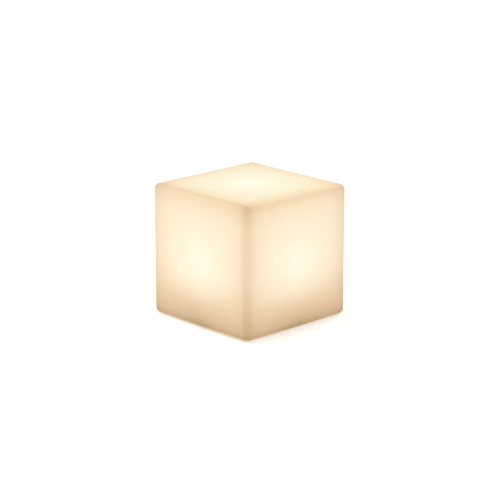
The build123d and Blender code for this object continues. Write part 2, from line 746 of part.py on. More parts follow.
# ---------------------------------------------------------------- charging-port door
with BuildPart() as port_door:
    with BuildSketch(Plane.XY.offset(cover_base_z)):
        with Locations((hinge_x + door_length / 2, 0)):
            Rectangle(door_length, door_width)
    extrude(amount=door_thickness)
    fillet(port_door.edges().filter_by(Axis.Z).group_by(Axis.X)[-1], radius=door_corner)
    with BuildSketch(Plane.XZ):
        with Locations((hinge_x, hinge_z)):
            Circle(knuckle_radius)
    extrude(amount=door_width / 2, both=True)
    with BuildSketch(Plane.XZ):
        with Locations((hinge_x, hinge_z)):
            Circle(hinge_pin_radius + hinge_pin_play)
    extrude(amount=door_width / 2, both=True, mode=Mode.SUBTRACT)
port_door.part.label = "port_door"

with BuildPart() as port_plug:
    with BuildSketch(Plane.XY.offset(door_top_z)):
        with Locations((-port_offset, 0)):
            SlotOverall(plug_length, plug_width, rotation=90)
    extrude(amount=plug_height, taper=plug_taper)
port_plug.part.label = "port_plug"

with BuildPart() as hinge_pin:
    with BuildSketch(Plane.XZ):
        with Locations((hinge_x, hinge_z)):
            Circle(hinge_pin_radius)
    extrude(amount=hinge_pin_length / 2, both=True)
hinge_pin.part.label = "hinge_pin"


# ---------------------------------------------------------------- battery
def battery_cell(y, nub_side):
    """One cell along X. Its raised contact faces +X for a nub side of 1, and -X for -1."""
    can_middle = cell_middle_x - nub_side * cell_nub_height / 2
    with BuildPart() as cell:
        with BuildSketch(Plane.YZ.offset(can_middle)):
            with Locations((y, cell_axis_z)):
                Circle(cell_radius)
        extrude(amount=(cell_length - cell_nub_height) / 2, both=True)
        fillet(cell.edges().filter_by(GeomType.CIRCLE), radius=cell_rounding)
        with BuildSketch(Plane.YZ.offset(can_middle)):
            with Locations((y, cell_axis_z)):
                Circle(cell_nub_radius)
        extrude(amount=nub_side * (cell_length / 2 + cell_nub_height / 2))
    return cell


battery_cell_a = battery_cell(cell_y, 1)
battery_cell_a.part.label = "battery_cell_a"
battery_cell_b = battery_cell(-cell_y, -1)
battery_cell_b.part.label = "battery_cell_b"

with BuildPart() as battery_bridge:
    with BuildSketch(Plane.YZ.offset(cell_start_x)):
        with Locations((0, cell_axis_z)):
            SlotCenterToCenter(2 * cell_y, strip_width)
    extrude(amount=-strip_thickness)
battery_bridge.part.label = "battery_bridge"

with BuildPart() as battery_tabs:
    with BuildSketch(Plane.YZ.offset(cell_end_x)):
        with Locations((-cell_y, cell_axis_z), (cell_y, cell_axis_z)):
            SlotCenterToCenter(strip_width, strip_width, rotation=90)
    extrude(amount=strip_thickness)
battery_tabs.part.label = "battery_tabs"

with BuildPart() as battery_clamp:
    with BuildSketch(Plane.YZ):
        with Locations((0, clamp_base_z + clamp_ear / 2)):
            Rectangle(2 * (post_y + post_radius), clamp_ear)
        with Locations((0, clamp_base_z + clamp_saddle / 2)):
            Rectangle(2 * (cell_edge_y + clamp_wall), clamp_saddle)
        with Locations((-cell_y, cell_axis_z), (cell_y, cell_axis_z)):
            Circle(cell_radius + cradle_clearance, mode=Mode.SUBTRACT)
    extrude(amount=clamp_width / 2, both=True)
    with Locations(-Plane.XY.offset(clamp_base_z)):
        with Locations((0, -post_y), (0, post_y)):
            CounterSinkHole(m3_hole_radius, m3_countersink_radius, clamp_ear, counter_sink_angle=90)
battery_clamp.part.label = "battery_clamp"

with BuildPart() as clamp_screws:
    with Locations((0, -post_y, clamp_base_z), (0, post_y, clamp_base_z)):
        add(m3_clamp_screw)
clamp_screws.part.label = "clamp_screws"

# ---------------------------------------------------------------- light engine
with BuildPart() as heat_spreader:
    with BuildSketch(Plane.XY.offset(deck_top_z)):
        Circle(spreader_radius)
        with PolarLocations(led_screw_circle, led_screw_count, start_angle=90):
            Circle(m3_radius + thread_play, mode=Mode.SUBTRACT)
        with Locations((0, grommet_y)):
            Circle(grommet_bore + grommet_wall + grommet_lip + running_gap, mode=Mode.SUBTRACT)
    extrude(amount=spreader_thickness)
heat_spreader.part.label = "heat_spreader"

with BuildPart() as led_board:
    with BuildSketch(Plane.XY.offset(spreader_top_z)):
        Circle(led_board_radius)
        with PolarLocations(led_screw_circle, led_screw_count, start_angle=90):
            Circle(m3_radius + thread_play, mode=Mode.SUBTRACT)
    extrude(amount=led_board_thickness)
led_board.part.label = "led_board"

with BuildPart() as led_packages:
    with BuildSketch(Plane.XY.offset(led_board_top_z)):
        with PolarLocations(inner_led_radius, inner_led_count):
            Rectangle(led_side, led_side)
        with PolarLocations(outer_led_radius, outer_led_count, start_angle=180 / outer_led_count):
            Rectangle(led_side, led_side)
    extrude(amount=led_height)
    with BuildSketch(Plane.XY.offset(led_board_top_z + led_height)):
        with PolarLocations(inner_led_radius, inner_led_count):
            Circle(led_window_radius)
        with PolarLocations(outer_led_radius, outer_led_count, start_angle=180 / outer_led_count):
            Circle(led_window_radius)
    extrude(amount=-led_window_depth, mode=Mode.SUBTRACT)
led_packages.part.label = "led_packages"

with BuildPart() as led_phosphors:
    with BuildSketch(Plane.XY.offset(led_board_top_z + led_height)):
        with PolarLocations(inner_led_radius, inner_led_count):
            Circle(led_window_radius)
        with PolarLocations(outer_led_radius, outer_led_count, start_angle=180 / outer_led_count):
            Circle(led_window_radius)
    extrude(amount=-led_window_depth)
led_phosphors.part.label = "led_phosphors"

with BuildPart() as led_board_screws:
    with Locations((0, 0, led_board_top_z)):
        with PolarLocations(led_screw_circle, led_screw_count, start_angle=90):
            add(m3_led_screw, rotation=(180, 0, 0))
led_board_screws.part.label = "led_board_screws"

# ---------------------------------------------------------------- dome
with BuildPart() as dome_hollow:
    with BuildSketch(Plane.XY.offset(deck_top_z)):
        Circle(dome_radius - dome_wall)
    extrude(amount=dome_height - dome_wall)
    with Locations((0, 0, dome_top_z - crown_radius)):
        Sphere(crown_radius - dome_wall, mode=Mode.INTERSECT)

with BuildPart() as dome_lens:
    with BuildSketch(Plane.XY.offset(deck_top_z)):
        Circle(dome_radius)
    extrude(amount=dome_height)
    # The crown is the cap of a ball that meets the upright wall at its top.
    with Locations((0, 0, dome_top_z - crown_radius)):
        Sphere(crown_radius, mode=Mode.INTERSECT)
    fillet(dome_lens.edges().filter_by(lambda e: abs(e.center().Z - dome_side_z) < on_edge), radius=dome_wall)
    with BuildSketch(Plane.XY.offset(deck_top_z)):
        Circle(dome_flange_radius)
    extrude(amount=dome_flange_thickness)
    add(dome_hollow.part, mode=Mode.SUBTRACT)
    with BuildSketch(Plane.XY.offset(deck_top_z)):
        with PolarLocations(dome_screw_circle, dome_screw_count):
            Circle(m2_hole_radius)
    extrude(amount=dome_flange_thickness, mode=Mode.SUBTRACT)
dome_lens.part.label = "dome_lens"

with BuildPart() as dome_gasket:
    add(
        flat_ring(
            dome_gasket_radius + dome_gasket_width / 2,
            dome_gasket_radius - dome_gasket_width / 2,
            deck_top_z - dome_gasket_thickness,
            dome_gasket_thickness,
        )
    )
dome_gasket.part.label = "dome_gasket"

with BuildPart() as dome_screws:
    with Locations((0, 0, deck_top_z + dome_flange_thickness)):
        with PolarLocations(dome_screw_circle, dome_screw_count):
            add(m2_dome_screw, rotation=(180, 0, 0))
dome_screws.part.label = "dome_screws"

# ---------------------------------------------------------------- leads
with BuildPart() as lead_grommet:
    with BuildSketch(Plane.XY.offset(deck_base_z - grommet_lip_thickness)):
        with Locations((0, grommet_y)):
            Circle(grommet_bore + grommet_wall + grommet_lip)
    extrude(amount=grommet_lip_thickness)
    with BuildSketch(Plane.XY.offset(deck_base_z)):
        with Locations((0, grommet_y)):
            Circle(grommet_bore + grommet_wall)
    extrude(amount=deck_thickness)
    with BuildSketch(Plane.XY.offset(deck_top_z)):
        with Locations((0, grommet_y)):
            Circle(grommet_bore + grommet_wall + grommet_lip)
    extrude(amount=grommet_lip_thickness)
    with BuildSketch(Plane.XY.offset(deck_base_z - grommet_lip_thickness)):
        with Locations((0, grommet_y)):
            Circle(grommet_bore)
    extrude(amount=deck_thickness + 2 * grommet_lip_thickness, mode=Mode.SUBTRACT)
lead_grommet.part.label = "lead_grommet"


def light_lead(x):
    """From the board's connector up through the grommet, and down onto the light board."""
    return lead(
        (x, light_connector_y, connector_top_z),
        (x, light_connector_y, connector_top_z + 3 * lead_bend),
        (x, grommet_y, connector_top_z + 5 * lead_bend),
        (x, grommet_y, lead_top_z),
        (x, lead_pad_y, lead_top_z),
        (x, lead_pad_y, led_board_top_z),
    )


def battery_lead(side):
    """From a cell's tab round to the board's connector. Side is 1 towards +Y and -1 towards -Y."""
    tab_x = cell_end_x + strip_thickness
    tab_z = cell_axis_z + strip_width / 2
    return lead(
        (tab_x, side * cell_y, tab_z),
        (battery_connector_x, side * cell_y, tab_z),
        (battery_connector_x, side * lead_spacing / 2, tab_z),
        (battery_connector_x, side * lead_spacing / 2, connector_top_z),
    )


leads = {
    "light_lead_positive": light_lead(lead_spacing / 2),
    "light_lead_negative": light_lead(-lead_spacing / 2),
    "battery_lead_positive": battery_lead(1),
    "battery_lead_negative": battery_lead(-1),
}
for lead_name, wire in leads.items():
    wire.label = lead_name

# ---------------------------------------------------------------- files
built = [
    diffuser_shell,
    shell_inserts,
    *feet,
    module_housing,
    shell_gasket,
    module_screws,
    module_cover,
    cover_gasket,
    cover_screws,
    control_board,
    board_screws,
    power_switch,
    charging_socket,
    indicator_led,
    light_pipe,
    control_chips,
    driver_inductor,
    smoothing_capacitor,
    light_connector,
    battery_connector,
    button_cap,
    switch_plunger,
    button_seal,
    port_door,
    port_plug,
    hinge_pin,
    battery_cell_a,
    battery_cell_b,
    battery_bridge,
    battery_tabs,
    battery_clamp,
    clamp_screws,
    heat_spreader,
    led_board,
    led_packages,
    led_phosphors,
    led_board_screws,
    dome_lens,
    dome_gasket,
    dome_screws,
    lead_grommet,
]
os.makedirs("parts", exist_ok=True)
for piece in [*(b.part for b in built), *leads.values()]:
    export_step(piece, f"parts/{piece.label}.step")
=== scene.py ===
"""Looks of a cordless cube light: an opal plastic cube, lit from inside by a round light module that is
screwed up into its underside.

Metres, +Z up. The cube stands on the floor at z = 0, with its sides facing +X, -X, +Y and -Y.
"""

import math

import bpy
from mathutils import Matrix, Vector


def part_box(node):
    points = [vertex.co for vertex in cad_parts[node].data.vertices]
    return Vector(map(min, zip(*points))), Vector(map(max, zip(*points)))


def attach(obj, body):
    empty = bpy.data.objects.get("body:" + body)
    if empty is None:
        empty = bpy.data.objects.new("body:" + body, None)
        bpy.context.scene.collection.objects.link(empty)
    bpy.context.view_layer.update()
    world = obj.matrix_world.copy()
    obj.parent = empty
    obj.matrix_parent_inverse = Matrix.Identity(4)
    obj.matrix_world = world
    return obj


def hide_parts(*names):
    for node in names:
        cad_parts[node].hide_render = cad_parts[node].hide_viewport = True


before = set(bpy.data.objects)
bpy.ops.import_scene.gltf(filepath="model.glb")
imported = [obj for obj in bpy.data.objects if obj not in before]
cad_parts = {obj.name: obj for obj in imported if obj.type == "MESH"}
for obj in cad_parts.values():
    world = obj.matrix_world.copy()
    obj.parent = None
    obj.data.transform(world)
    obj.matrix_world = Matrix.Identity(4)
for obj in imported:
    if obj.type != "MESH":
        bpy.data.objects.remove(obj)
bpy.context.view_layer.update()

MM = 0.001
LIGHT_BODY = "cube_light"
BUTTON_BODY = "power_button"
DOOR_BODY = "charging_port_door"


# ---------------------------------------- sizes read from the frame
def middle_of(node):
    low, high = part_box(node)
    return (low + high) / 2


def half_of(node):
    low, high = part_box(node)
    return (high - low) / 2


shell_low, shell_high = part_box("diffuser_shell")
SIDE = shell_high.x - shell_low.x
SHELL_HEIGHT = shell_high.z - shell_low.z
SHELL_MIDDLE = middle_of("diffuser_shell")
EDGE_RADIUS = 9 * MM
LIGHT_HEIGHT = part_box("led_board")[1].z
INSERT_COUNT = 6
# One of the six inserts lies on the X axis, and the next one 60 degrees on.
INSERT_CIRCLE = (half_of("shell_inserts").x - half_of("shell_inserts").y) / (1 - math.sin(math.radians(60)))
BOARD_SCREW_INSET = 5 * MM
BOARD_SCREW_CIRCLE = half_of("control_board").x - BOARD_SCREW_INSET
LIGHT_BOARD_SCREW_INSET = 3.7 * MM
LIGHT_BOARD_SCREW_CIRCLE = half_of("led_board").x - LIGHT_BOARD_SCREW_INSET
COVER_SCREW_HEAD = 2.8 * MM
COVER_SCREW_CIRCLE = (half_of("cover_screws").x - COVER_SCREW_HEAD) * math.sqrt(2)
CROSS_REACH = 2.2 * MM
CROSS_DEPTH = 0.6 * MM
THREAD_PITCH = 0.6 * MM
CHIP_HALF_LENGTH = 5 * MM
CHIP_HALF_WIDTH = 3 * MM


# ---------------------------------------- wiring of node trees
def maths(tree, operation, *values):
    return Value(place(tree, "Math", dict(enumerate(values)), operation=operation).outputs[0])


class Value:
    """What a node puts out. + - * / and ** between values are wired as Math nodes."""

    def __init__(self, socket):
        self.socket = socket
        self.tree = socket.id_data

    def maths(self, operation, *others):
        return maths(self.tree, operation, self, *others)

    def __add__(self, other):
        return self.maths("ADD", other)

    def __sub__(self, other):
        return self.maths("SUBTRACT", other)

    def __mul__(self, other):
        return self.maths("MULTIPLY", other)

    def __truediv__(self, other):
        return self.maths("DIVIDE", other)

    def __pow__(self, other):
        return self.maths("POWER", other)

    def __abs__(self):
        return self.maths("ABSOLUTE")

    def __rsub__(self, number):
        return maths(self.tree, "SUBTRACT", number, self)

    def __rtruediv__(self, number):
        return maths(self.tree, "DIVIDE", number, self)


def feed(socket, value):
    """Gives a socket a number, a colour, a vector or what another node puts out."""
    if isinstance(value, Value):
        value.tree.links.new(value.socket, socket)
    elif isinstance(value, tuple) and socket.type == "RGBA":
        socket.default_value = (*value[:3], 1.0)
    else:
        socket.default_value = value


def place(tree, kind, links=None, **settings):
    """Adds a node. Settings are its own options, and links feed its sockets."""
    node = tree.nodes.new("ShaderNode" + kind)
    for option, value in settings.items():
        setattr(node, option, value)
    for socket, value in (links or {}).items():
        feed(node.inputs[socket], value)
    return node


def fade(value, start, end, low=0.0, high=1.0, kind="SMOOTHSTEP"):
    """Goes from low to high as the value goes from start to end."""
    links = {"Value": value, "From Min": start, "From Max": end, "To Min": low, "To Max": high}
    return Value(place(value.tree, "MapRange", links, interpolation_type=kind).outputs[0])


def below(value, start, end):
    """1 up to the start, and 0 from the end on."""
    return fade(value, start, end, 1.0, 0.0)


def by_mask(mask, low, high):
    return fade(mask, 0.0, 1.0, low, high, kind="LINEAR")


def by_noise(pattern, low, high):
    """Goes from low to high over the part of its range that a noise mostly keeps to."""
    return fade(pattern, 0.3, 0.7, low, high, kind="LINEAR")


def band(value, low, high, soft):
    """1 between low and high, and 0 outside, with soft ends."""
    return fade(value, low - soft, low) * below(value, high, high + soft)


def falling(value):
    """1 at nothing, and less and less as the value grows."""
    return (value * -1.0).maths("EXPONENT")


def waves(value):
    """Smooth waves from 0 to 1, one for each whole step of the value."""
    return (value * (2 * math.pi)).maths("SINE") * 0.5 + 0.5


def vector_maths(operation, *values):
    node = place(values[0].tree, "VectorMath", dict(enumerate(values)), operation=operation)
    return Value(node.outputs["Value" if operation == "LENGTH" else "Vector"])


def stretched(where, x, y, z):
    return vector_maths("MULTIPLY", where, (x, y, z))


def off_axis(where):
    """The distance from the upright axis through the origin."""
    return vector_maths("LENGTH", stretched(where, 1.0, 1.0, 0.0))


def split(where):
    return [Value(socket) for socket in place(where.tree, "SeparateXYZ", {0: where}).outputs]


def join(tree, **axes):
    return Value(place(tree, "CombineXYZ", axes).outputs[0])


def turned(where, angle):
    links = {"Vector": where, "Angle": angle}
    return Value(place(where.tree, "VectorRotate", links, rotation_type="Z_AXIS").outputs[0])


def within_round_copy(where, count, circle_radius, start_angle=0.0):
    """The place within the nearest copy of what is repeated in a circle about the Z axis."""
    x, y, _ = split(where)
    step = 2 * math.pi / count
    copy = ((y.maths("ARCTAN2", x) - start_angle) / step).maths("ROUND")
    local = turned(where, (copy * step + start_angle) * -1.0)
    return vector_maths("SUBTRACT", local, (circle_radius, 0.0, 0.0))


def mix(amount, first, second):
    """Mixes two colours."""
    node = place(amount.tree, "Mix", data_type="RGBA")
    for label, value in (("Factor_Float", amount), ("A_Color", first), ("B_Color", second)):
        feed(next(socket for socket in node.inputs if socket.identifier == label), value)
    return Value(next(socket for socket in node.outputs if socket.identifier == "Result_Color"))


def shade(colour, factor):
    """The same colour, lighter or darker."""
    return tuple(min(1.0, v * factor) for v in colour)


def noise(where, size, detail=2.0, roughness=0.5):
    links = {"Vector": where, "Scale": 1.0 / size, "Detail": detail, "Roughness": roughness}
    return Value(place(where.tree, "TexNoise", links).outputs[0])


def cells(where, size):
    return Value(place(where.tree, "TexVoronoi", {"Vector": where, "Scale": 1.0 / size}).outputs["Distance"])


def bump(height, depth, normal=None, sunk=False):
    links = {"Height": height, "Distance": depth, "Strength": 1.0}
    if normal:
        links["Normal"] = normal
    return Value(place(height.tree, "Bump", links, invert=sunk).outputs[0])


def ramp(factor, stops):
    """A colour for each value of the factor. Stops are pairs of a position and a colour."""
    node = place(factor.tree, "ValToRGB", {"Fac": factor})
    elements = node.color_ramp.elements
    while len(elements) < len(stops):
        elements.new(0.5)
    for element, (position, colour) in zip(elements, stops):
        element.position = position
        element.color = (*colour, 1.0)
    return Value(node.outputs[0])


def new_group(name, sizes, outputs):
    """A node group that is given a place and some sizes. Outputs are the kinds of what it makes."""
    tree = bpy.data.node_groups.new(name, "ShaderNodeTree")
    tree.interface.new_socket("Vector", in_out="INPUT", socket_type="NodeSocketVector")
    for label, size in sizes.items():
        tree.interface.new_socket(label, in_out="INPUT", socket_type="NodeSocketFloat").default_value = size
    for label, kind in outputs.items():
        tree.interface.new_socket(label, in_out="OUTPUT", socket_type="NodeSocket" + kind)
    given = [Value(socket) for socket in tree.nodes.new("NodeGroupInput").outputs if socket.name]
    return tree, tree.nodes.new("NodeGroupOutput").inputs, given


def use(group, where, **sizes):
    """Places a group. Sizes name its sockets, with _ for a space."""
    node = where.tree.nodes.new("ShaderNodeGroup")
    node.node_tree = group
    feed(node.inputs["Vector"], where)
    for label, size in sizes.items():
        feed(node.inputs[label.replace("_", " ")], size)
    return {socket.name: Value(socket) for socket in node.outputs}


# ---------------------------------------- effects that several finishes share
def make_moulded_grain():
    """The fine pebbled skin that a spark-eroded mould leaves on plastic."""
    sizes = {"Grain Size": 0.4 * MM, "Depth": 0.02 * MM}
    outputs = {"Normal": "Vector", "Mottle": "Float"}
    tree, made, (where, grain, depth) = new_group("moulded_grain", sizes, outputs)
    height = cells(where, grain) * 0.6 + noise(where, grain * 0.5, 3.0) * 0.4
    feed(made["Normal"], bump(height, depth))
    feed(made["Mottle"], noise(where, grain / 0.03, 4.0))
    return tree


def make_scuffs():
    """Thin crossing rub marks, as a mask."""
    sizes = {"Length": 12 * MM, "Amount": 0.3}
    tree, made, (where, length, amount) = new_group("scuffs", sizes, {"Mask": "Float"})
    marks = []
    for turn, shift in ((0.6, 0.0), (2.1, 3.7)):
        drawn_out = stretched(turned(where, turn), 1.0, 24.0, 24.0)
        moved = vector_maths("ADD", drawn_out, (shift, shift, shift))
        marks.append(fade(noise(moved, length, 4.0, 0.7), 0.60, 0.72))
    patches = fade(noise(where, length / 0.6), 0.45, 0.7)
    feed(made["Mask"], marks[0].maths("MAXIMUM", marks[1]) * patches * amount)
    return tree


def make_settled_dust():
    """Soft clouds of fine dust, as a mask."""
    sizes = {"Patch Size": 15 * MM, "Amount": 0.3}
    tree, made, (where, patch, amount) = new_group("settled_dust", sizes, {"Mask": "Float"})
    clouds = fade(noise(where, patch, 5.0, 0.6), 0.42, 0.75)
    specks = below(cells(where, patch / 30.0), 0.10, 0.22)
    feed(made["Mask"], (clouds * 0.8 + specks * 0.35) * amount)
    return tree


def make_drawn_metal():
    """Fine lines along one direction, as rolling, drawing or brushing leaves them."""
    sizes = {"Line Width": 0.05 * MM, "Depth": 0.004 * MM}
    outputs = {"Normal": "Vector", "Lines": "Float"}
    tree, made, (where, width, depth) = new_group("drawn_metal", sizes, outputs)
    lines = noise(stretched(where, 0.02, 1.0, 1.0), width, 3.0, 0.6)
    feed(made["Normal"], bump(lines, depth))
    feed(made["Lines"], lines)
    return tree


def make_turned_metal():
    """Rings round the Z axis, as a lathe or a face mill leaves them."""
    sizes = {"Pitch": 0.12 * MM, "Depth": 0.004 * MM}
    outputs = {"Normal": "Vector", "Rings": "Float"}
    tree, made, (where, pitch, depth) = new_group("turned_metal", sizes, outputs)
    wobble = noise(where, MM / 0.9) * pitch
    rings = waves((off_axis(where) + wobble) / pitch)
    feed(made["Normal"], bump(rings, depth))
    feed(made["Rings"], rings)
    return tree


MOULDED_GRAIN = make_moulded_grain()
SCUFFS = make_scuffs()
SETTLED_DUST = make_settled_dust()
DRAWN_METAL = make_drawn_metal()
TURNED_METAL = make_turned_metal()
DUST_COLOUR = (0.36, 0.33, 0.28)


class Finish:
    """A material with one Principled shader, whose uniform values are set on its own sockets."""

    def __init__(self, name, **uniform):
        self.material = bpy.data.materials.new(name + "_finish")
        self.material.use_nodes = True
        self.tree = self.material.node_tree
        self.shader = self.tree.nodes["Principled BSDF"]
        for label, value in uniform.items():
            self.shader.inputs[label.replace("_", " ")].default_value = value
        self.place_on_piece = place(self.tree, "TexCoord").outputs
        self.where = Value(self.place_on_piece["Object"])

    def levelness(self):
        """1 on level faces, and 0 on upright ones."""
        return abs(split(Value(self.place_on_piece["Normal"]))[2])

    def grain(self, size, depth):
        return use(MOULDED_GRAIN, self.where, Grain_Size=size, Depth=depth)

    def scuffs(self, length, amount):
        return use(SCUFFS, self.where, Length=length, Amount=amount)["Mask"]

    def dust(self, patch_size, amount):
        return use(SETTLED_DUST, self.where, Patch_Size=patch_size, Amount=amount)["Mask"]

    def feed(self, **sockets):
        for label, value in sockets.items():
            feed(self.shader.inputs[label.replace("_", " ")], value)
        return self.material


# ---------------------------------------- the glow of the opal shell
# Lengths here are shares of the cube's side.
GLOW_SOFTNESS = 0.12  # how softly the light starts above the level of the light board
GLOW_DIRECT = 1.10  # light that reaches the wall straight from the board
GLOW_ROOM = 1.02  # light that is scattered round inside the shell
GLOW_FOOT = 0.445  # how much less of it there is at the foot of the walls
GLOW_FOOT_HEIGHT = 0.1085
MODULE_SHADE = 0.243  # shade of the module on the foot of each wall, opposite the module's middle
MODULE_SHADE_WIDTH = 0.18
MODULE_SHADE_HEIGHT = 0.085
EDGE_DIMMING = 0.093  # towards the edges, where the light has further to go
EDGE_DIMMING_WIDTH = 0.2
ROUNDING_DIMMING = 0.15  # on the rounded edges themselves, where the wall is thicker
ROUNDING_DIMMING_WIDTH = 0.065
TOP_EDGE_SHARE = 0.6  # the level edges dim less than the upright ones
DOME_SPOT = 0.38  # soft spot that the dome throws on the middle of each face
DOME_SPOT_HEIGHT = 0.51
DOME_SPOT_WIDTH = 0.13
BASE_LIGHT = (0.36, 0.47)  # on the underside, round the module and at the corners
BASE_LIGHT_REACH = (0.33, 0.66)


def make_light_through_shell():
    """How much light comes out of each place on the shell, from 0 to 1."""
    tree, made, (where,) = new_group("light_through_shell", {}, {"Light": "Float"})
    x, y, z = split(where)
    across = abs(x) / SIDE
    along = abs(y) / SIDE
    height = (z - shell_low.z) / SIDE
    half = 0.5
    top = SHELL_HEIGHT / SIDE
    rounding = EDGE_RADIUS / SIDE

    # Straight light from the board falls off with distance and with the angles at both ends.
    above = height - (LIGHT_HEIGHT - shell_low.z) / SIDE
    rise = above.maths("SMOOTH_MAX", 0.0, GLOW_SOFTNESS)
    outward = across**2.0 + along**2.0
    distance = outward + above**2.0
    on_top = fade(height, top - rounding, top, kind="LINEAR") ** 2.0
    facing = on_top * (rise - half) + half
    direct = rise * facing / distance**2.0 * GLOW_DIRECT

    # What is left of the distance from the cube's middle is the distance from the face's middle.
    along_face = outward + (height - DOME_SPOT_HEIGHT) ** 2.0 - half**2
    direct = direct + falling(along_face / DOME_SPOT_WIDTH**2) * DOME_SPOT

    # Scattered light is even, less at the foot, and least where the module stands in its way.
    room = GLOW_ROOM - falling(height / GLOW_FOOT_HEIGHT) * GLOW_FOOT
    opposite = falling((across.maths("MINIMUM", along) / MODULE_SHADE_WIDTH) ** 2.0)
    module = opposite * falling(height / MODULE_SHADE_HEIGHT) * MODULE_SHADE
    light = 1.0 - falling((direct + room - module).maths("MAXIMUM", 0.0))

    # Edges: a wide soft dimming towards them, and a narrow one on the rounding itself.
    reaches = ((across, half), (along, half), (abs(height - top / 2), top / 2))
    near = [fade(value, reach - EDGE_DIMMING_WIDTH, reach) for value, reach in reaches]
    on_x, on_y, on_z = (fade(v, reach - ROUNDING_DIMMING_WIDTH, reach, kind="LINEAR") for v, reach in reaches)
    closeness = near[0] + near[1] + near[2] - 1.0
    roundness = on_x * on_y + (on_x + on_y) * on_z * TOP_EDGE_SHARE
    light = light * (1.0 - closeness * EDGE_DIMMING) * (1.0 - roundness * ROUNDING_DIMMING)

    # The underside only gets light round the module, more of it towards the corners.
    base_light = fade(outward.maths("SQRT"), *BASE_LIGHT_REACH, *BASE_LIGHT)
    on_base = fade(height, 0.0, rounding, 1.0, 0.0, kind="LINEAR") ** 2.0
    feed(made["Light"], light + (base_light - light) * on_base)
    return tree


# Warm light looks whiter as it gets stronger. Green rises with the light. Red is a square, a plain and a
# fixed share of it. Blue is a plain and a fixed share, and rises faster above a level.
GLOW_RED = (-1.36, 2.62, -0.27)
LEAST_RED = 1.06  # red's least share of green, so that the brightest spots stay warm
GLOW_BLUE = (0.84, -0.108)
WHITER_ABOVE = 0.84
WHITER_SHARE = 0.70
WHITER_SOFTNESS = 0.08
# Light of the room that the shell sends back, which comes off the colours it should be seen in.
ROOM_LIGHT_ON_SIDES = (0.312, 0.250, 0.174)
ROOM_LIGHT_ON_TOP = (0.424, 0.369, 0.300)


def opal_shell_finish():
    """Satin opal polyethylene that lets warm light through."""
    finish = Finish("opal_shell", Specular_IOR_Level=0.35, IOR=1.5, Emission_Strength=1.0)
    where = finish.where
    # The wall of a hollow moulding is never quite even, so the glow isn't either.
    cloud = by_noise(noise(where, 35 * MM, 3.0, 0.45), 0.990, 1.010)
    fleck = by_noise(noise(where, 1.2 * MM), 0.994, 1.006)
    light = use(make_light_through_shell(), where)["Light"] * cloud * fleck
    square, plain, fixed = GLOW_RED
    red = ((light * square + plain) * light + fixed).maths("MAXIMUM", light * LEAST_RED)
    plain, fixed = GLOW_BLUE
    stronger = (light - WHITER_ABOVE).maths("SMOOTH_MAX", 0.0, WHITER_SOFTNESS)
    blue = light * plain + fixed + stronger * WHITER_SHARE
    on_top = fade(split(where)[2], shell_high.z - EDGE_RADIUS, shell_high.z, kind="LINEAR") ** 2.0
    sent_back = mix(on_top, ROOM_LIGHT_ON_SIDES, ROOM_LIGHT_ON_TOP)
    own = vector_maths("SUBTRACT", join(finish.tree, X=red, Y=light, Z=blue), sent_back)
    grain = finish.grain(0.9 * MM, 0.012 * MM)
    scuffs = finish.scuffs(18 * MM, 0.5)
    colour = mix(grain["Mottle"], (0.285, 0.225, 0.155), (0.315, 0.250, 0.172))
    return finish.feed(
        Base_Color=mix(scuffs * 0.25, colour, (0.36, 0.31, 0.24)),
        Emission_Color=vector_maths("MAXIMUM", own, (0.0, 0.0, 0.0)),
        Roughness=by_noise(grain["Mottle"], 0.46, 0.54) + scuffs * 0.15,
        Normal=grain["Normal"],
    )


# ---------------------------------------- plastics
def moulded_plastic(name, colour, grain_size, grain_depth, roughness, rubbing=0.3, dust=0.0):
    """Injection-moulded plastic with a fine grain, rub marks, and dust where it meets the weather."""
    finish = Finish(name, Specular_IOR_Level=0.45, IOR=1.49)
    grain = finish.grain(grain_size, grain_depth)
    rubbed = finish.scuffs(9 * MM, rubbing)
    toned = mix(noise(finish.where, 16 * MM, 4.0, 0.55), shade(colour, 0.94), shade(colour, 1.05))
    toned = mix(rubbed, toned, shade(colour, 1.35))
    rough = by_noise(grain["Mottle"], roughness - 0.05, roughness + 0.05) - rubbed * 0.12
    if dust:
        settled = finish.dust(11 * MM, dust)
        toned = mix(settled, toned, DUST_COLOUR)
        rough = rough + settled * 0.25
    return finish.feed(Base_Color=toned, Roughness=rough, Normal=grain["Normal"])


PIN_MARK_COUNT = 3
PIN_MARK_CIRCLE = 34 * MM
PIN_MARK_ANGLE = 0.95
PIN_MARK_RING = (2.55 * MM, 2.75 * MM)


def cover_finish():
    """The cover's plastic has three round ejector-pin marks between its screws, and rub marks."""
    finish = Finish("cover_plastic", Specular_IOR_Level=0.45, IOR=1.49)
    grain = finish.grain(0.45 * MM, 0.02 * MM)
    rubbed = finish.scuffs(10 * MM, 0.55)
    settled = finish.dust(14 * MM, 0.30)
    from_pin = off_axis(within_round_copy(finish.where, PIN_MARK_COUNT, PIN_MARK_CIRCLE, PIN_MARK_ANGLE))
    pin_edge = band(from_pin, *PIN_MARK_RING, 0.12 * MM)
    toned = mix(noise(finish.where, 18 * MM, 4.0, 0.55), (0.555, 0.545, 0.505), (0.625, 0.612, 0.570))
    toned = mix(pin_edge * 0.35, toned, (0.42, 0.41, 0.38))
    toned = mix(rubbed * 0.5, toned, (0.74, 0.73, 0.70))
    return finish.feed(
        Base_Color=mix(settled, toned, DUST_COLOUR),
        Roughness=by_noise(grain["Mottle"], 0.50, 0.60) + settled * 0.2,
        Normal=bump(pin_edge, 0.06 * MM, grain["Normal"], sunk=True),
    )


TRACK_PITCH = 3.2 * MM
VIA_PITCH = 3.6 * MM
PAD_RADIUS = 2.9 * MM


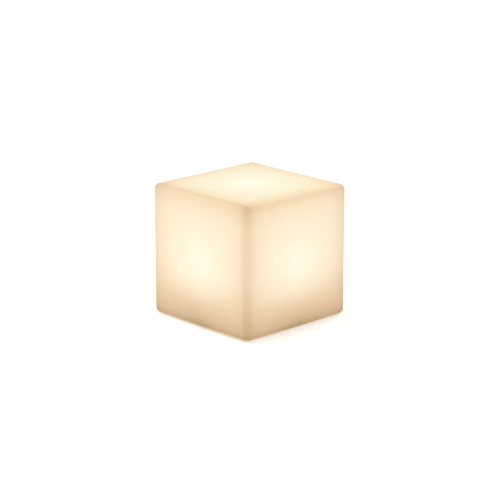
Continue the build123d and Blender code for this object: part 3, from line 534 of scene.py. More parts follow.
def board_finish(name, mask_colour, trace_colour, pad_count, pad_circle, pad_angle):
    """A circuit board: solder mask over copper tracks, glass weave at its edge, bare rings at the screws."""
    finish = Finish(name, Specular_IOR_Level=0.5, Coat_Weight=0.6, Coat_Roughness=0.12)
    where = finish.where
    links = {
        "Vector": where,
        "Scale": 1 / TRACK_PITCH,
        "Mortar Size": 0.09,
        "Mortar Smooth": 0.1,
        "Bias": 0.0,
        "Brick Width": 1.7,
        "Row Height": 0.42,
    }
    bricks = place(finish.tree, "TexBrick", links, offset=0.37, squash=0.6, squash_frequency=3)
    tracks = Value(bricks.outputs["Fac"]) * fade(noise(where, 9 * MM, 1.0), 0.47, 0.50)
    vias = below(cells(where, VIA_PITCH), 0.085, 0.10)
    copper = tracks.maths("MAXIMUM", vias)
    from_screw = off_axis(within_round_copy(where, pad_count, pad_circle, pad_angle))
    ring = below(from_screw, PAD_RADIUS, PAD_RADIUS + 0.1 * MM)
    edge = below(finish.levelness(), 0.4, 0.6)
    weave = noise(stretched(where, 1.0, 1.0, 9.0), 0.9 * MM)
    toned = mix(copper, mask_colour, trace_colour)
    toned = mix(ring, toned, (0.76, 0.74, 0.66))
    return finish.feed(
        Base_Color=mix(edge, toned, mix(weave, (0.50, 0.44, 0.24), (0.68, 0.62, 0.40))),
        Roughness=by_mask(ring.maths("MAXIMUM", edge), 0.28, 0.42) + weave * 0.06,
        Metallic=ring * 0.9,
        Normal=bump(copper * 0.6 + ring * 0.4, 0.03 * MM),
    )


DOT_RADIUS = 0.50 * MM


def chip_finish():
    """Black epoxy with a laser-dulled top and a pin-one dot."""
    finish = Finish("chip_plastic", Specular_IOR_Level=0.4)
    grain = finish.grain(0.12 * MM, 0.008 * MM)
    # The two chips lie opposite each other, so a half turn brings one onto the other.
    side = split(finish.where)[0].maths("SIGN")
    both = vector_maths("MULTIPLY", finish.where, join(finish.tree, X=side, Y=side, Z=1.0))
    reach = half_of("control_chips")
    dot_middle = (reach.x - 1.8 * CHIP_HALF_LENGTH, -reach.y + 0.4 * CHIP_HALF_WIDTH, 0.0)
    dot = below(off_axis(vector_maths("SUBTRACT", both, dot_middle)), DOT_RADIUS, DOT_RADIUS + 0.06 * MM)
    toned = mix(grain["Mottle"], (0.016, 0.016, 0.017), (0.026, 0.026, 0.027))
    return finish.feed(
        Base_Color=mix(dot, toned, (0.06, 0.06, 0.06)),
        Roughness=by_noise(grain["Mottle"], 0.52, 0.64) - dot * 0.3,
        Normal=grain["Normal"],
    )


# ---------------------------------------- rubbers
def soft_rubber(name, colour, roughness, dust=0.0, groove_pitch=None):
    """Moulded rubber or silicone: a dull bloom, and sealing ribs in rings where a pitch is given."""
    finish = Finish(name, Specular_IOR_Level=0.3, IOR=1.45)
    bloom = fade(noise(finish.where, 4 * MM, 5.0, 0.6), 0.4, 0.7)
    toned = mix(bloom * 0.5, colour, shade(colour, 1.45))
    if dust:
        toned = mix(finish.dust(6 * MM, dust), toned, DUST_COLOUR)
    normal = finish.grain(0.25 * MM, 0.015 * MM)["Normal"]
    if groove_pitch:
        ribs = use(TURNED_METAL, finish.where, Pitch=groove_pitch)["Rings"]
        normal = bump(ribs, 0.05 * MM, normal)
    return finish.feed(
        Base_Color=toned,
        Roughness=by_mask(bloom, roughness - 0.07, roughness + 0.07),
        Normal=normal,
    )


POLISHED_REACH = (3.0 * MM, 6.0 * MM)
GRIT_REACH = (7.0 * MM, 8.2 * MM)


def button_finish():
    """Rubber that fingers have polished in the middle, with grit left round the rim."""
    finish = Finish("button_rubber", Specular_IOR_Level=0.35, IOR=1.45)
    ragged = off_axis(finish.where) + noise(finish.where, 2 * MM, 3.0) * (2.4 * MM)
    polished = below(ragged, *POLISHED_REACH)
    rim = fade(ragged, *GRIT_REACH)
    toned = mix(polished, (0.018, 0.018, 0.020), (0.030, 0.030, 0.032))
    return finish.feed(
        Base_Color=mix(rim * 0.35, toned, DUST_COLOUR),
        Roughness=by_mask(polished, 0.72, 0.46),
        Normal=finish.grain(0.3 * MM, 0.02 * MM)["Normal"],
    )


# ---------------------------------------- metals
def plated_metal(name, colour, roughness, tarnish):
    """Drawn or rolled metal with a thin plating, a little cloudy."""
    finish = Finish(name, Metallic=1.0)
    lines = use(DRAWN_METAL, finish.where, Line_Width=0.06 * MM, Depth=0.003 * MM)
    cloud = fade(noise(finish.where, 3 * MM, 4.0, 0.6), 0.42, 0.72)
    toned = mix(lines["Lines"], shade(colour, 0.90), shade(colour, 1.06))
    return finish.feed(
        Base_Color=mix(cloud * 0.45, toned, tarnish),
        Roughness=by_mask(cloud, roughness, roughness + 0.16),
        Normal=lines["Normal"],
    )


def screw_finish(name, joined=None, count=0, circle=0.0, start_angle=0.0):
    """Bright zinc on steel: threads on the shanks, rub marks, and painted shade in the crosses that show."""
    finish = Finish(name, Metallic=1.0)
    height = split(finish.where)[2]
    upright = below(finish.levelness(), 0.25, 0.45)
    cloud = fade(noise(finish.where, 2.5 * MM, 3.0), 0.40, 0.70)
    toned = mix(cloud, (0.50, 0.51, 0.53), (0.46, 0.455, 0.43))
    toned = mix(finish.scuffs(2.5 * MM, 0.5), toned, (0.62, 0.62, 0.62))
    rough = by_mask(cloud, 0.30, 0.38)
    if joined:
        from_screw = off_axis(within_round_copy(finish.where, count, circle, start_angle))
        inside = below(from_screw, CROSS_REACH, CROSS_REACH + 0.2 * MM)
        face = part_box(joined)[0].z
        # Painted shade: the crosses that show in the heads are made dark, rougher and less metallic, as if the
        # recess were in shade.
        painted_recess_shade = inside * fade(height, face + 0.1 * MM, face + CROSS_DEPTH)
        toned = mix(painted_recess_shade, toned, (0.035, 0.032, 0.028))
        rough = rough + painted_recess_shade * 0.35
        finish.feed(Metallic=1.0 - painted_recess_shade)
    threads = waves(height / THREAD_PITCH) * upright
    return finish.feed(Base_Color=toned, Roughness=rough, Normal=bump(threads, 0.25 * MM))


KNURL_COUNT = 22.0
KNURL_PITCH = 0.9 * MM


def brass_finish():
    """Turned brass with a crossed knurl round each insert."""
    finish = Finish("brass", Metallic=1.0)
    x, y, z = split(within_round_copy(finish.where, INSERT_COUNT, INSERT_CIRCLE))
    angle = y.maths("ARCTAN2", x) * KNURL_COUNT
    rise = z * (2 * math.pi / KNURL_PITCH)
    knurl = (angle + rise).maths("SINE") * (angle - rise).maths("SINE") * 0.5 + 0.5
    cloud = fade(noise(finish.where, 1.2 * MM, 4.0, 0.6), 0.40, 0.72)
    toned = mix(cloud, (0.62, 0.40, 0.13), (0.47, 0.30, 0.11))
    return finish.feed(
        Base_Color=mix(knurl * 0.4, toned, (0.72, 0.50, 0.20)),
        Roughness=by_mask(cloud, 0.24, 0.40),
        Normal=bump(knurl, 0.12 * MM),
    )


PASTE_REACH = (31.3 * MM, 31.8 * MM)


def spreader_finish():
    """Face-milled aluminium, with a smear of white heat paste round the light board."""
    finish = Finish("spreader_aluminium")
    rings = use(TURNED_METAL, finish.where, Pitch=0.22 * MM, Depth=0.006 * MM)
    ragged = off_axis(finish.where) + noise(finish.where, 3 * MM, 3.0) * (2.0 * MM)
    smear = below(ragged, *PASTE_REACH)
    toned = mix(rings["Rings"], (0.60, 0.60, 0.61), (0.68, 0.68, 0.69))
    return finish.feed(
        Base_Color=mix(smear, toned, (0.80, 0.80, 0.79)),
        Roughness=by_mask(smear, 0.30, 0.62),
        Metallic=by_mask(smear, 1.0, 0.0),
        Normal=rings["Normal"],
    )


# ---------------------------------------- electrical pieces
CELL_CAP_DEPTH = 1.4 * MM
CELL_CAP_RADIUS = 4.6 * MM
CELL_PAPER_RADIUS = 7.8 * MM


def cell_finish():
    """A blue heat-shrink sleeve, with a white paper ring and bare nickel at the cells' ends."""
    finish = Finish("cell_wrap", Specular_IOR_Level=0.5)
    x, y, z = split(finish.where)
    middle = middle_of("battery_cell_a")
    end = half_of("battery_cell_a").x - CELL_CAP_DEPTH
    radius = vector_maths("LENGTH", join(finish.tree, Y=abs(y) - middle.y, Z=z - middle.z))
    at_end = fade(abs(x - middle.x), end, end + 0.2 * MM)
    bare = at_end * below(radius, CELL_CAP_RADIUS - 0.1 * MM, CELL_CAP_RADIUS)
    paper = at_end * band(radius, CELL_CAP_RADIUS, CELL_PAPER_RADIUS, 0.08 * MM)
    creases = noise(stretched(finish.where, 0.3, 1.0, 1.0), 2.5 * MM, 4.0)
    wear = fade(noise(finish.where, 11 * MM, 3.0), 0.35, 0.65)
    toned = mix(wear, (0.020, 0.095, 0.300), (0.028, 0.120, 0.360))
    toned = mix(paper, toned, (0.78, 0.77, 0.73))
    return finish.feed(
        Base_Color=mix(bare, toned, (0.62, 0.60, 0.55)),
        Roughness=by_noise(creases, 0.20, 0.34) + paper * 0.5,
        Metallic=bare,
        Normal=bump(creases, 0.05 * MM),
    )


STRIPE_HALF_ANGLE = 0.48
SCORED_RADIUS = 3.1 * MM
SCORE_HALF_WIDTH = 0.10 * MM


def capacitor_finish():
    """A dark sleeve with a pale stripe down one side, and a scored metal top."""
    finish = Finish("capacitor_can", Specular_IOR_Level=0.5)
    local = vector_maths("SUBTRACT", finish.where, tuple(middle_of("smoothing_capacitor")))
    top_height = half_of("smoothing_capacitor").z
    x, y, z = split(local)
    stripe = below(abs(y.maths("ARCTAN2", x)), STRIPE_HALF_ANGLE, STRIPE_HALF_ANGLE + 0.04)
    up = fade(z, top_height - 0.3 * MM, top_height - 0.2 * MM)
    top = up * below(off_axis(local), SCORED_RADIUS, SCORED_RADIUS + 0.1 * MM)
    scores = [band(abs(axis), 0.0, SCORE_HALF_WIDTH, 0.05 * MM) for axis in (x, y)]
    film = noise(finish.where, 2 * MM, 3.0)
    toned = mix(film, (0.010, 0.013, 0.040), (0.015, 0.019, 0.055))
    toned = mix(stripe, toned, (0.46, 0.48, 0.52))
    return finish.feed(
        Base_Color=mix(top, toned, (0.66, 0.66, 0.67)),
        Roughness=by_noise(film, 0.22, 0.32),
        Metallic=top,
        Normal=bump(scores[0].maths("MAXIMUM", scores[1]) * top, 0.15 * MM, sunk=True),
    )


def insulation_finish(name, colour):
    """Silicone-covered stranded wire: soft sheen, and the strands just telling through."""
    finish = Finish(name, Specular_IOR_Level=0.45, Coat_Weight=0.1)
    strands = noise(stretched(finish.where, 1.0, 1.0, 0.15), 0.35 * MM)
    patches = noise(finish.where, 5 * MM, 3.0)
    return finish.feed(
        Base_Color=mix(patches, shade(colour, 0.86), shade(colour, 1.12)),
        Roughness=by_noise(patches, 0.34, 0.48),
        Normal=bump(strands, 0.02 * MM),
    )


def phosphor_finish():
    """Yellow phosphor in clear silicone, lit."""
    finish = Finish("led_phosphor", Specular_IOR_Level=0.5, Emission_Strength=1.0)
    finish.material.cycles.emission_sampling = "NONE"
    grit = noise(finish.where, 0.15 * MM, 3.0, 0.7)
    return finish.feed(
        Base_Color=mix(grit, (0.88, 0.60, 0.10), (0.98, 0.74, 0.20)),
        Emission_Color=mix(grit, (0.90, 0.66, 0.34), (1.0, 0.84, 0.58)),
        Roughness=by_noise(grit, 0.18, 0.32),
        Normal=bump(grit, 0.02 * MM),
    )


LAMP_REACH = (14 * MM, 40 * MM)


def dome_finish():
    """Frosted plastic, lit from below: palest over the ring of lamps, and yellower down the side."""
    finish = Finish("frosted_dome", Specular_IOR_Level=0.35, Emission_Strength=1.0)
    finish.material.cycles.emission_sampling = "NONE"
    grain = finish.grain(0.2 * MM, 0.012 * MM)
    over_lamps = fade(off_axis(finish.where), *LAMP_REACH, 1.0, 0.35)
    low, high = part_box("dome_lens")
    up = fade(split(finish.where)[2], low.z, high.z, 0.30, 1.0)
    stops = [
        (0.0, (0.061, 0.032, 0.013)),
        (0.4, (0.515, 0.314, 0.138)),
        (0.8, (0.855, 0.672, 0.402)),
        (1.0, (0.922, 0.807, 0.604)),
    ]
    return finish.feed(
        Base_Color=mix(grain["Mottle"], (0.34, 0.31, 0.26), (0.38, 0.35, 0.30)),
        Emission_Color=ramp(over_lamps * up * by_noise(grain["Mottle"], 0.97, 1.03), stops),
        Roughness=by_noise(grain["Mottle"], 0.50, 0.60),
        Normal=grain["Normal"],
    )


def light_pipe_finish():
    """Clear acrylic, with drag lines from the mould along its length."""
    finish = Finish("clear_light_pipe", IOR=1.49, Transmission_Weight=0.85)
    lines = noise(stretched(finish.where, 1.0, 1.0, 0.08), 0.2 * MM)
    haze = fade(noise(finish.where, 1.5 * MM, 4.0), 0.35, 0.70)
    return finish.feed(
        Base_Color=mix(haze, (0.86, 0.90, 0.90), (0.78, 0.82, 0.82)),
        Roughness=by_mask(haze, 0.06, 0.20),
        Normal=bump(lines, 0.01 * MM),
    )


LENS_RADIUS = 1.05 * MM


def indicator_finish():
    """A small lamp in a white case, with a water-clear lens."""
    finish = Finish("indicator_led", Specular_IOR_Level=0.5, Coat_Weight=0.5, Coat_Roughness=0.1)
    local = vector_maths("SUBTRACT", finish.where, tuple(middle_of("indicator_led")))
    lens = below(off_axis(local), LENS_RADIUS, LENS_RADIUS + 0.07 * MM)
    mottle = noise(finish.where, 0.4 * MM, 3.0)
    toned = mix(mottle, (0.76, 0.77, 0.72), (0.86, 0.87, 0.82))
    return finish.feed(
        Base_Color=mix(lens, toned, (0.45, 0.62, 0.40)),
        Roughness=by_mask(lens, 0.45, 0.12),
        Normal=bump(mottle, 0.01 * MM),
    )


# ---------------------------------------- modelling
def finish_piece(name, body, material, smooth_angle=35):
    """Leaves edit mode, and gives the piece its name, body and finish."""
    bpy.ops.mesh.select_all(action="SELECT")
    bpy.ops.mesh.remove_doubles(threshold=0.0005 * MM)
    bpy.ops.mesh.normals_make_consistent(inside=False)
    bpy.ops.object.mode_set(mode="OBJECT")
    bpy.ops.object.shade_smooth_by_angle(angle=math.radians(smooth_angle))
    bpy.ops.object.transform_apply(location=True, rotation=True, scale=True)
    piece = bpy.context.object
    piece.name = name
    piece.data.name = name
    piece.data.materials.clear()
    piece.data.materials.append(material)
    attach(piece, body)
    return piece


def draw_line(points, close=False):
    """Starts a mesh as one point, and pulls a line out of it through the points."""
    bpy.ops.object.select_all(action="DESELECT")
    bpy.ops.mesh.primitive_plane_add(size=MM)
    bpy.ops.object.mode_set(mode="EDIT")
    bpy.ops.mesh.select_all(action="SELECT")
    bpy.ops.mesh.merge(type="CENTER")
    bpy.ops.transform.translate(value=points[0])
    for before, after in zip(points, points[1:]):
        step = Vector(after) - Vector(before)
        bpy.ops.mesh.extrude_region_move(TRANSFORM_OT_translate={"value": step})
    bpy.ops.mesh.select_all(action="SELECT")
    if close:
        bpy.ops.mesh.edge_face_add()


def turn_line(points, steps, angle=2 * math.pi, close=False):
    """Turns a line of (radius, height) points round the Z axis."""
    draw_line([(radius, 0, height) for radius, height in points], close)
    bpy.ops.mesh.spin(steps=steps, angle=angle, center=(0, 0, 0), axis=(0, 0, 1))


def raise_block(x, y, z, height):
    """A block that stands on z. Its x and y are pairs of a low and a high end."""
    corners = [(x[0], y[0], z), (x[1], y[0], z), (x[1], y[1], z), (x[0], y[1], z)]
    draw_line(corners, close=True)
    bpy.ops.mesh.extrude_region_move(TRANSFORM_OT_translate={"value": (0, 0, height)})


def soften(width, segments=2):
    """Rounds every sharp edge of the mesh in edit mode."""
    bpy.ops.mesh.select_all(action="SELECT")
    bpy.ops.mesh.remove_doubles(threshold=0.0005 * MM)
    bpy.ops.mesh.select_all(action="DESELECT")
    bpy.ops.mesh.edges_select_sharp(sharpness=math.radians(30))
    bpy.ops.mesh.bevel(offset=width, segments=segments, affect="EDGES")


def copy_piece(piece, name, move, turn=0.0):
    """A copy with a mesh of its own, turned about the Z axis and then moved."""
    bpy.ops.object.select_all(action="DESELECT")
    twin = piece.copy()
    twin.data = piece.data.copy()
    twin.name = name
    twin.data.name = name
    bpy.context.scene.collection.objects.link(twin)
    twin.data.transform(Matrix.Translation(move) @ Matrix.Rotation(turn, 4, "Z"))
    return twin


def arc(middle, radius, start, end, steps):
    """Points (radius, height) on an arc, with its angles in degrees."""
    angles = [math.radians(start + (end - start) * i / steps) for i in range(steps + 1)]
    return [(middle[0] + radius * math.cos(a), middle[1] + radius * math.sin(a)) for a in angles]


# ---------------------------------------- feet
FOOT_TREADS = (1.9 * MM, 3.5 * MM, 5.1 * MM)
TREAD_WIDTH = 0.7 * MM
TREAD_DEPTH = 0.5 * MM
FOOT_ROUNDING = 0.8 * MM


def make_feet():
    """Round rubber feet with ring grooves in their soles."""
    material = soft_rubber("foot_rubber", (0.34, 0.33, 0.31), 0.72, dust=0.35)
    low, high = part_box("foot_front_left")
    radius = (high.x - low.x) / 2
    profile = [(0, low.z)]
    for groove in FOOT_TREADS:
        profile.append((groove - TREAD_WIDTH / 2, low.z))
        profile.append((groove - TREAD_WIDTH / 3, low.z + TREAD_DEPTH))
        profile.append((groove + TREAD_WIDTH / 3, low.z + TREAD_DEPTH))
        profile.append((groove + TREAD_WIDTH / 2, low.z))
    profile += arc((radius - FOOT_ROUNDING, low.z + FOOT_ROUNDING), FOOT_ROUNDING, -90, 0, 5)
    profile += [(radius, high.z), (0, high.z)]
    turn_line(profile, 56)
    soften(0.08 * MM)
    pattern = finish_piece("foot_pattern", LIGHT_BODY, material)
    for side in ("front_left", "front_right", "back_left", "back_right"):
        node = "foot_" + side
        middle = middle_of(node)
        foot = copy_piece(pattern, "treaded_" + node, (middle.x, middle.y, 0))
        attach(foot, LIGHT_BODY)
        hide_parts(node)
    bpy.data.objects.remove(pattern)


# ---------------------------------------- button mark and door grip
MARK_HEIGHT = 0.25 * MM
MARK_HALF_WIDTH = 0.375 * MM
MARK_RADIUS = 3.0 * MM
MARK_GAP = 70
MARK_BAR = (0.9 * MM, 4.1 * MM)
MARK_SEAT = 0.05 * MM
BUTTON_DISH = 0.5 * MM


def make_power_mark():
    """The usual broken ring and bar for power, raised in the dish of the button."""
    material = soft_rubber("mark_rubber", (0.52, 0.52, 0.51), 0.55)
    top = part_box("button_cap")[0].z + BUTTON_DISH + MARK_SEAT
    base = top - MARK_HEIGHT
    inner = MARK_RADIUS - MARK_HALF_WIDTH
    outer = MARK_RADIUS + MARK_HALF_WIDTH
    section = [(inner, base), (outer, base), (outer, top), (inner, top)]
    turn_line(section, 40, math.radians(360 - MARK_GAP), close=True)
    bpy.ops.mesh.select_all(action="SELECT")
    bpy.ops.transform.rotate(value=math.radians(MARK_GAP / 2), orient_axis="Z", center_override=(0, 0, 0))
    soften(0.07 * MM)
    finish_piece("power_mark_ring", BUTTON_BODY, material)
    raise_block(MARK_BAR, (-MARK_HALF_WIDTH, MARK_HALF_WIDTH), base, MARK_HEIGHT)
    soften(0.07 * MM)
    finish_piece("power_mark_bar", BUTTON_BODY, material)


GRIP_RIBS = 3
GRIP_INSET = 2.6 * MM
GRIP_PITCH = 1.3 * MM
GRIP_HALF_WIDTH = 0.3 * MM
GRIP_HALF_LENGTH = 4.25 * MM
GRIP_HEIGHT = 0.4 * MM
GRIP_SEAT = 0.1 * MM


def make_door_grip(material):
    """Finger ribs across the free end of the charging port's door."""
    low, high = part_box("port_door")
    for i in range(GRIP_RIBS):
        x = high.x - GRIP_INSET - i * GRIP_PITCH
        across = (x - GRIP_HALF_WIDTH, x + GRIP_HALF_WIDTH)
        along = (-GRIP_HALF_LENGTH, GRIP_HALF_LENGTH)
        raise_block(across, along, low.z - GRIP_HEIGHT, GRIP_HEIGHT + GRIP_SEAT)
        soften(0.12 * MM, 3)
        finish_piece(f"door_grip_rib_{i + 1}", DOOR_BODY, material)


# ---------------------------------------- inside the module
CONTACTS_PER_FACE = 6
CONTACT_PITCH = 0.95 * MM
CONTACT_HALF_WIDTH = 0.21 * MM
CONTACT_LENGTH = 3.4 * MM
CONTACT_HEIGHT = 0.05 * MM
CONTACT_INSET = 1.1 * MM
TONGUE_HALF_THICKNESS = 0.35 * MM


def make_socket_contacts():
    """Gold-plated contact strips on both faces of the socket's tongue."""
    material = plated_metal("contact_gold", (0.83, 0.62, 0.22), 0.20, (0.70, 0.50, 0.20))
    start_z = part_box("charging_socket")[0].z + CONTACT_INSET
    raise_block((0, 2 * CONTACT_HEIGHT), (-CONTACT_HALF_WIDTH, CONTACT_HALF_WIDTH), 0, CONTACT_LENGTH)
    soften(0.02 * MM, 1)
    pattern = finish_piece("contact_pattern", LIGHT_BODY, material)
    for face, side, turn in (("inner", -1, math.pi), ("outer", 1, 0.0)):
        x = middle_of("charging_socket").x + side * (TONGUE_HALF_THICKNESS - CONTACT_HEIGHT)
        for i in range(CONTACTS_PER_FACE):
            y = (i - (CONTACTS_PER_FACE - 1) / 2) * CONTACT_PITCH
            contact = copy_piece(pattern, f"socket_contact_{face}_{i + 1}", (x, y, start_z), turn)
            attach(contact, LIGHT_BODY)
    bpy.data.objects.remove(pattern)


def make_solder_joints():
    """A cone of solder where each light lead goes onto the light board."""
    material = plated_metal("solder", (0.66, 0.66, 0.67), 0.22, (0.50, 0.50, 0.50))
    for node in ("light_lead_positive", "light_lead_negative"):
        low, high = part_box(node)
        wire = (high.x - low.x) / 2
        profile = [(0, 0), (1.95 * wire, 0), (1.80 * wire, 0.10 * MM), (1.35 * wire, 0.45 * MM)]
        profile += [(1.12 * wire, 0.95 * MM), (1.03 * wire, 1.25 * MM), (0, 1.30 * MM)]
        turn_line(profile, 32)
        bpy.ops.mesh.select_all(action="SELECT")
        bpy.ops.transform.translate(value=((low.x + high.x) / 2, high.y - wire, LIGHT_HEIGHT))
        finish_piece(node + "_solder", LIGHT_BODY, material, 60)


FOAM_HALF_LENGTH = 15 * MM
FOAM_HALF_WIDTH = 4 * MM
FOAM_GAP = 0.8 * MM
FOAM_SQUEEZE = 0.3 * MM


def make_foam_tapes():
    """Strips of foam tape that hold the cells to the deck above them."""
    material = soft_rubber("foam_tape", (0.045, 0.045, 0.048), 0.90)
    for node in ("battery_cell_a", "battery_cell_b"):
        middle = middle_of(node)
        along = (middle.x - FOAM_HALF_LENGTH, middle.x + FOAM_HALF_LENGTH)
        across = (middle.y - FOAM_HALF_WIDTH, middle.y + FOAM_HALF_WIDTH)
        raise_block(along, across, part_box(node)[1].z - FOAM_SQUEEZE, FOAM_GAP + FOAM_SQUEEZE)
        bpy.ops.mesh.subdivide(number_cuts=6)
        soften(0.15 * MM, 3)
        finish_piece(node + "_foam_tape", LIGHT_BODY, material)


# ---------------------------------------- stage, lamps and camera
FLOOR_SIZE = 14
FLOOR_COLOUR = (0.80, 0.80, 0.80)
FLOOR_LIFT = (0.32, 0.50)
FLOOR_LIFT_REACH = (1.2, 7.0)
WORLD_LEVEL = 0.55


def seen_directly(tree):
    """1 for what the camera sees, also in a mirror or through glass."""
    rays = place(tree, "LightPath").outputs
    camera, mirror, glass = (Value(rays[f"Is {kind} Ray"]) for kind in ("Camera", "Glossy", "Transmission"))
    return camera.maths("MAXIMUM", mirror).maths("MAXIMUM", glass)


def make_floor():
    bpy.ops.mesh.primitive_plane_add(size=FLOOR_SIZE)
    floor = bpy.context.object
    floor.name = "floor"
    material = bpy.data.materials.new("pale_floor")
    material.use_nodes = True
    tree = material.node_tree
    tree.nodes.clear()
    # The lamps reach less of the floor far from the cube, so it is lifted more there.
    away = vector_maths("LENGTH", Value(place(tree, "TexCoord").outputs["Object"]))
    strength = seen_directly(tree) * fade(away, *FLOOR_LIFT_REACH, *FLOOR_LIFT, kind="LINEAR")
    lift = Value(place(tree, "Emission", {"Strength": strength}).outputs[0])
    diffuse = Value(place(tree, "BsdfDiffuse", {"Color": FLOOR_COLOUR}).outputs[0])
    lit = Value(place(tree, "AddShader", {0: diffuse, 1: lift}).outputs[0])
    # From below, and for lamps below, the floor isn't there.
    clear = Value(place(tree, "BsdfTransparent").outputs[0])
    behind = Value(place(tree, "NewGeometry").outputs["Backfacing"])
    shadow = Value(place(tree, "LightPath").outputs["Is Shadow Ray"])
    surface = place(tree, "MixShader", {0: behind.maths("MAXIMUM", shadow), 1: lit, 2: clear})
    place(tree, "OutputMaterial", {"Surface": Value(surface.outputs[0])})
    floor.data.materials.append(material)


def make_world():
    world = bpy.data.worlds.new("studio")
    bpy.context.scene.world = world
    world.use_nodes = True
    background = world.node_tree.nodes["Background"]
    background.inputs["Color"].default_value = (1, 1, 1, 1)
    feed(background.inputs["Strength"], by_mask(seen_directly(world.node_tree), WORLD_LEVEL, 1.0))
    world.cycles.sampling_method = "NONE"


def soft_lamp(name, place_at, size, power):
    """A square softbox that faces the cube."""
    data = bpy.data.lights.new(name, "AREA")
    data.shape = "SQUARE"
    data.size = size
    data.energy = power
    lamp = bpy.data.objects.new(name, data)
    bpy.context.scene.collection.objects.link(lamp)
    lamp.location = place_at
    lamp.rotation_euler = (SHELL_MIDDLE - Vector(place_at)).to_track_quat("-Z", "Y").to_euler()


def make_lamps():
    soft_lamp("key_softbox", (-1.2, -2.2, 2.4), 1.8, 42)
    soft_lamp("fill_softbox", (2.4, -0.9, 1.8), 1.8, 34)
    soft_lamp("back_softbox", (-0.6, 2.4, 2.2), 1.8, 26)
    soft_lamp("under_softbox", (-0.6, 0.5, -1.5), 0.7, 14)


# The camera stands where the photograph was taken from, worked out from the cube's corners.
CAMERA_AZIMUTH = math.radians(46.46)
CAMERA_ELEVATION = math.radians(16.20)
CAMERA_DISTANCE = 14.0 * SIDE
FOCAL_SHARE = 1915.4 / 500  # focal length, as a share of the picture's width
SENSOR_WIDTH = 36
AIM_RIGHT = 0.66 * MM
AIM_DOWN = 1.96 * MM


def make_camera():
    back = Vector((math.sin(CAMERA_AZIMUTH), -math.cos(CAMERA_AZIMUTH), 0)) * math.cos(CAMERA_ELEVATION)
    back.z = math.sin(CAMERA_ELEVATION)
    right = Vector((math.cos(CAMERA_AZIMUTH), math.sin(CAMERA_AZIMUTH), 0))
    up = back.cross(right)
    data = bpy.data.cameras.new("camera")
    data.sensor_width = SENSOR_WIDTH
    data.lens = FOCAL_SHARE * SENSOR_WIDTH
    camera = bpy.data.objects.new("camera", data)
    bpy.context.scene.collection.objects.link(camera)
    camera.location = SHELL_MIDDLE + back * CAMERA_DISTANCE + right * AIM_RIGHT - up * AIM_DOWN
    camera.rotation_euler = Matrix((right, up, back)).transposed().to_euler()
    bpy.context.scene.camera = camera


# ---------------------------------------- putting it together
def dress(material, *nodes):
    """Gives pieces of the frame their finish."""
    for node in nodes:
        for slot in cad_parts[node].material_slots:
            slot.material = material


def dress_plastics():
    housing = (0.66, 0.65, 0.61)
    package = (0.80, 0.79, 0.73)
    nylon = (0.80, 0.77, 0.66)
    black = (0.018, 0.018, 0.018)
    clamp = (0.020, 0.020, 0.022)
    ferrite = (0.035, 0.035, 0.037)
    dress(opal_shell_finish(), "diffuser_shell")
    dress(moulded_plastic("housing_plastic", housing, 0.5 * MM, 0.02 * MM, 0.56, 0.5, 0.22), "module_housing")
    dress(cover_finish(), "module_cover")
    dress(dome_finish(), "dome_lens")
    dress(light_pipe_finish(), "light_pipe")
    dress(moulded_plastic("switch_plastic", black, 0.15 * MM, 0.01 * MM, 0.42), "switch_plunger", "power_switch")
    dress(moulded_plastic("led_package", package, 0.1 * MM, 0.005 * MM, 0.45, 0.1), "led_packages")
    dress(moulded_plastic("inductor_ferrite", ferrite, 0.2 * MM, 0.03 * MM, 0.66, 0.2), "driver_inductor")
    dress(moulded_plastic("clamp_plastic", clamp, 0.35 * MM, 0.02 * MM, 0.55, 0.3), "battery_clamp")
    connectors = moulded_plastic("connector_nylon", nylon, 0.15 * MM, 0.01 * MM, 0.42, 0.2)
    dress(connectors, "light_connector", "battery_connector")
    door = moulded_plastic("door_plastic", (0.075, 0.075, 0.080), 0.4 * MM, 0.02 * MM, 0.58, 0.6, 0.15)
    dress(door, "port_door")
    make_door_grip(door)


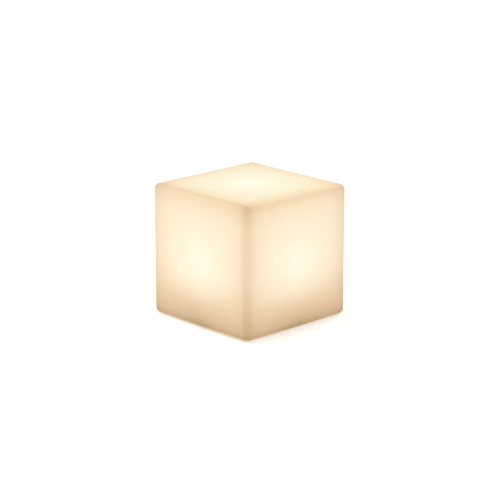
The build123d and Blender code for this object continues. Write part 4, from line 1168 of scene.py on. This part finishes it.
def dress_rubbers():
    dress(button_finish(), "button_cap")
    dress(soft_rubber("door_seal", (0.020, 0.020, 0.020), 0.60), "port_plug")
    dress(soft_rubber("black_silicone", (0.022, 0.022, 0.023), 0.55), "button_seal", "lead_grommet")
    grey_silicone = soft_rubber("grey_silicone", (0.26, 0.26, 0.255), 0.52, groove_pitch=1.1 * MM)
    dress(grey_silicone, "shell_gasket", "cover_gasket", "dome_gasket")


def dress_metals():
    dress(brass_finish(), "shell_inserts")
    dress(spreader_finish(), "heat_spreader")
    dress(screw_finish("screw_steel"), "board_screws", "clamp_screws", "led_board_screws", "dome_screws")
    module_steel = screw_finish("module_screw_steel", "module_screws", INSERT_COUNT, INSERT_CIRCLE)
    dress(module_steel, "module_screws")
    cover_steel = screw_finish("cover_screw_steel", "cover_screws", 4, COVER_SCREW_CIRCLE, math.radians(45))
    dress(cover_steel, "cover_screws")
    dress(plated_metal("pin_steel", (0.62, 0.62, 0.63), 0.24, (0.45, 0.43, 0.40)), "hinge_pin")
    dress(plated_metal("socket_steel", (0.60, 0.60, 0.61), 0.22, (0.48, 0.46, 0.42)), "charging_socket")
    nickel = plated_metal("nickel_strip", (0.62, 0.59, 0.53), 0.28, (0.50, 0.46, 0.38))
    dress(nickel, "battery_bridge", "battery_tabs")


def dress_electrics():
    green = ("green_board", (0.010, 0.100, 0.035), (0.022, 0.170, 0.060))
    white = ("white_board", (0.78, 0.78, 0.76), (0.68, 0.68, 0.65))
    dress(board_finish(*green, 4, BOARD_SCREW_CIRCLE, math.radians(45)), "control_board")
    dress(board_finish(*white, 3, LIGHT_BOARD_SCREW_CIRCLE, math.radians(90)), "led_board")
    dress(chip_finish(), "control_chips")
    dress(phosphor_finish(), "led_phosphors")
    dress(indicator_finish(), "indicator_led")
    dress(capacitor_finish(), "smoothing_capacitor")
    dress(cell_finish(), "battery_cell_a", "battery_cell_b")
    red = insulation_finish("red_insulation", (0.36, 0.012, 0.010))
    dress(red, "light_lead_positive", "battery_lead_positive")
    black = insulation_finish("black_insulation", (0.016, 0.016, 0.016))
    dress(black, "light_lead_negative", "battery_lead_negative")


dress_plastics()
dress_rubbers()
dress_metals()
dress_electrics()
make_feet()
make_power_mark()
make_socket_contacts()
make_solder_joints()
make_foam_tapes()

make_floor()
make_world()
make_lamps()
make_camera()
bpy.context.scene.view_settings.view_transform = "Standard"
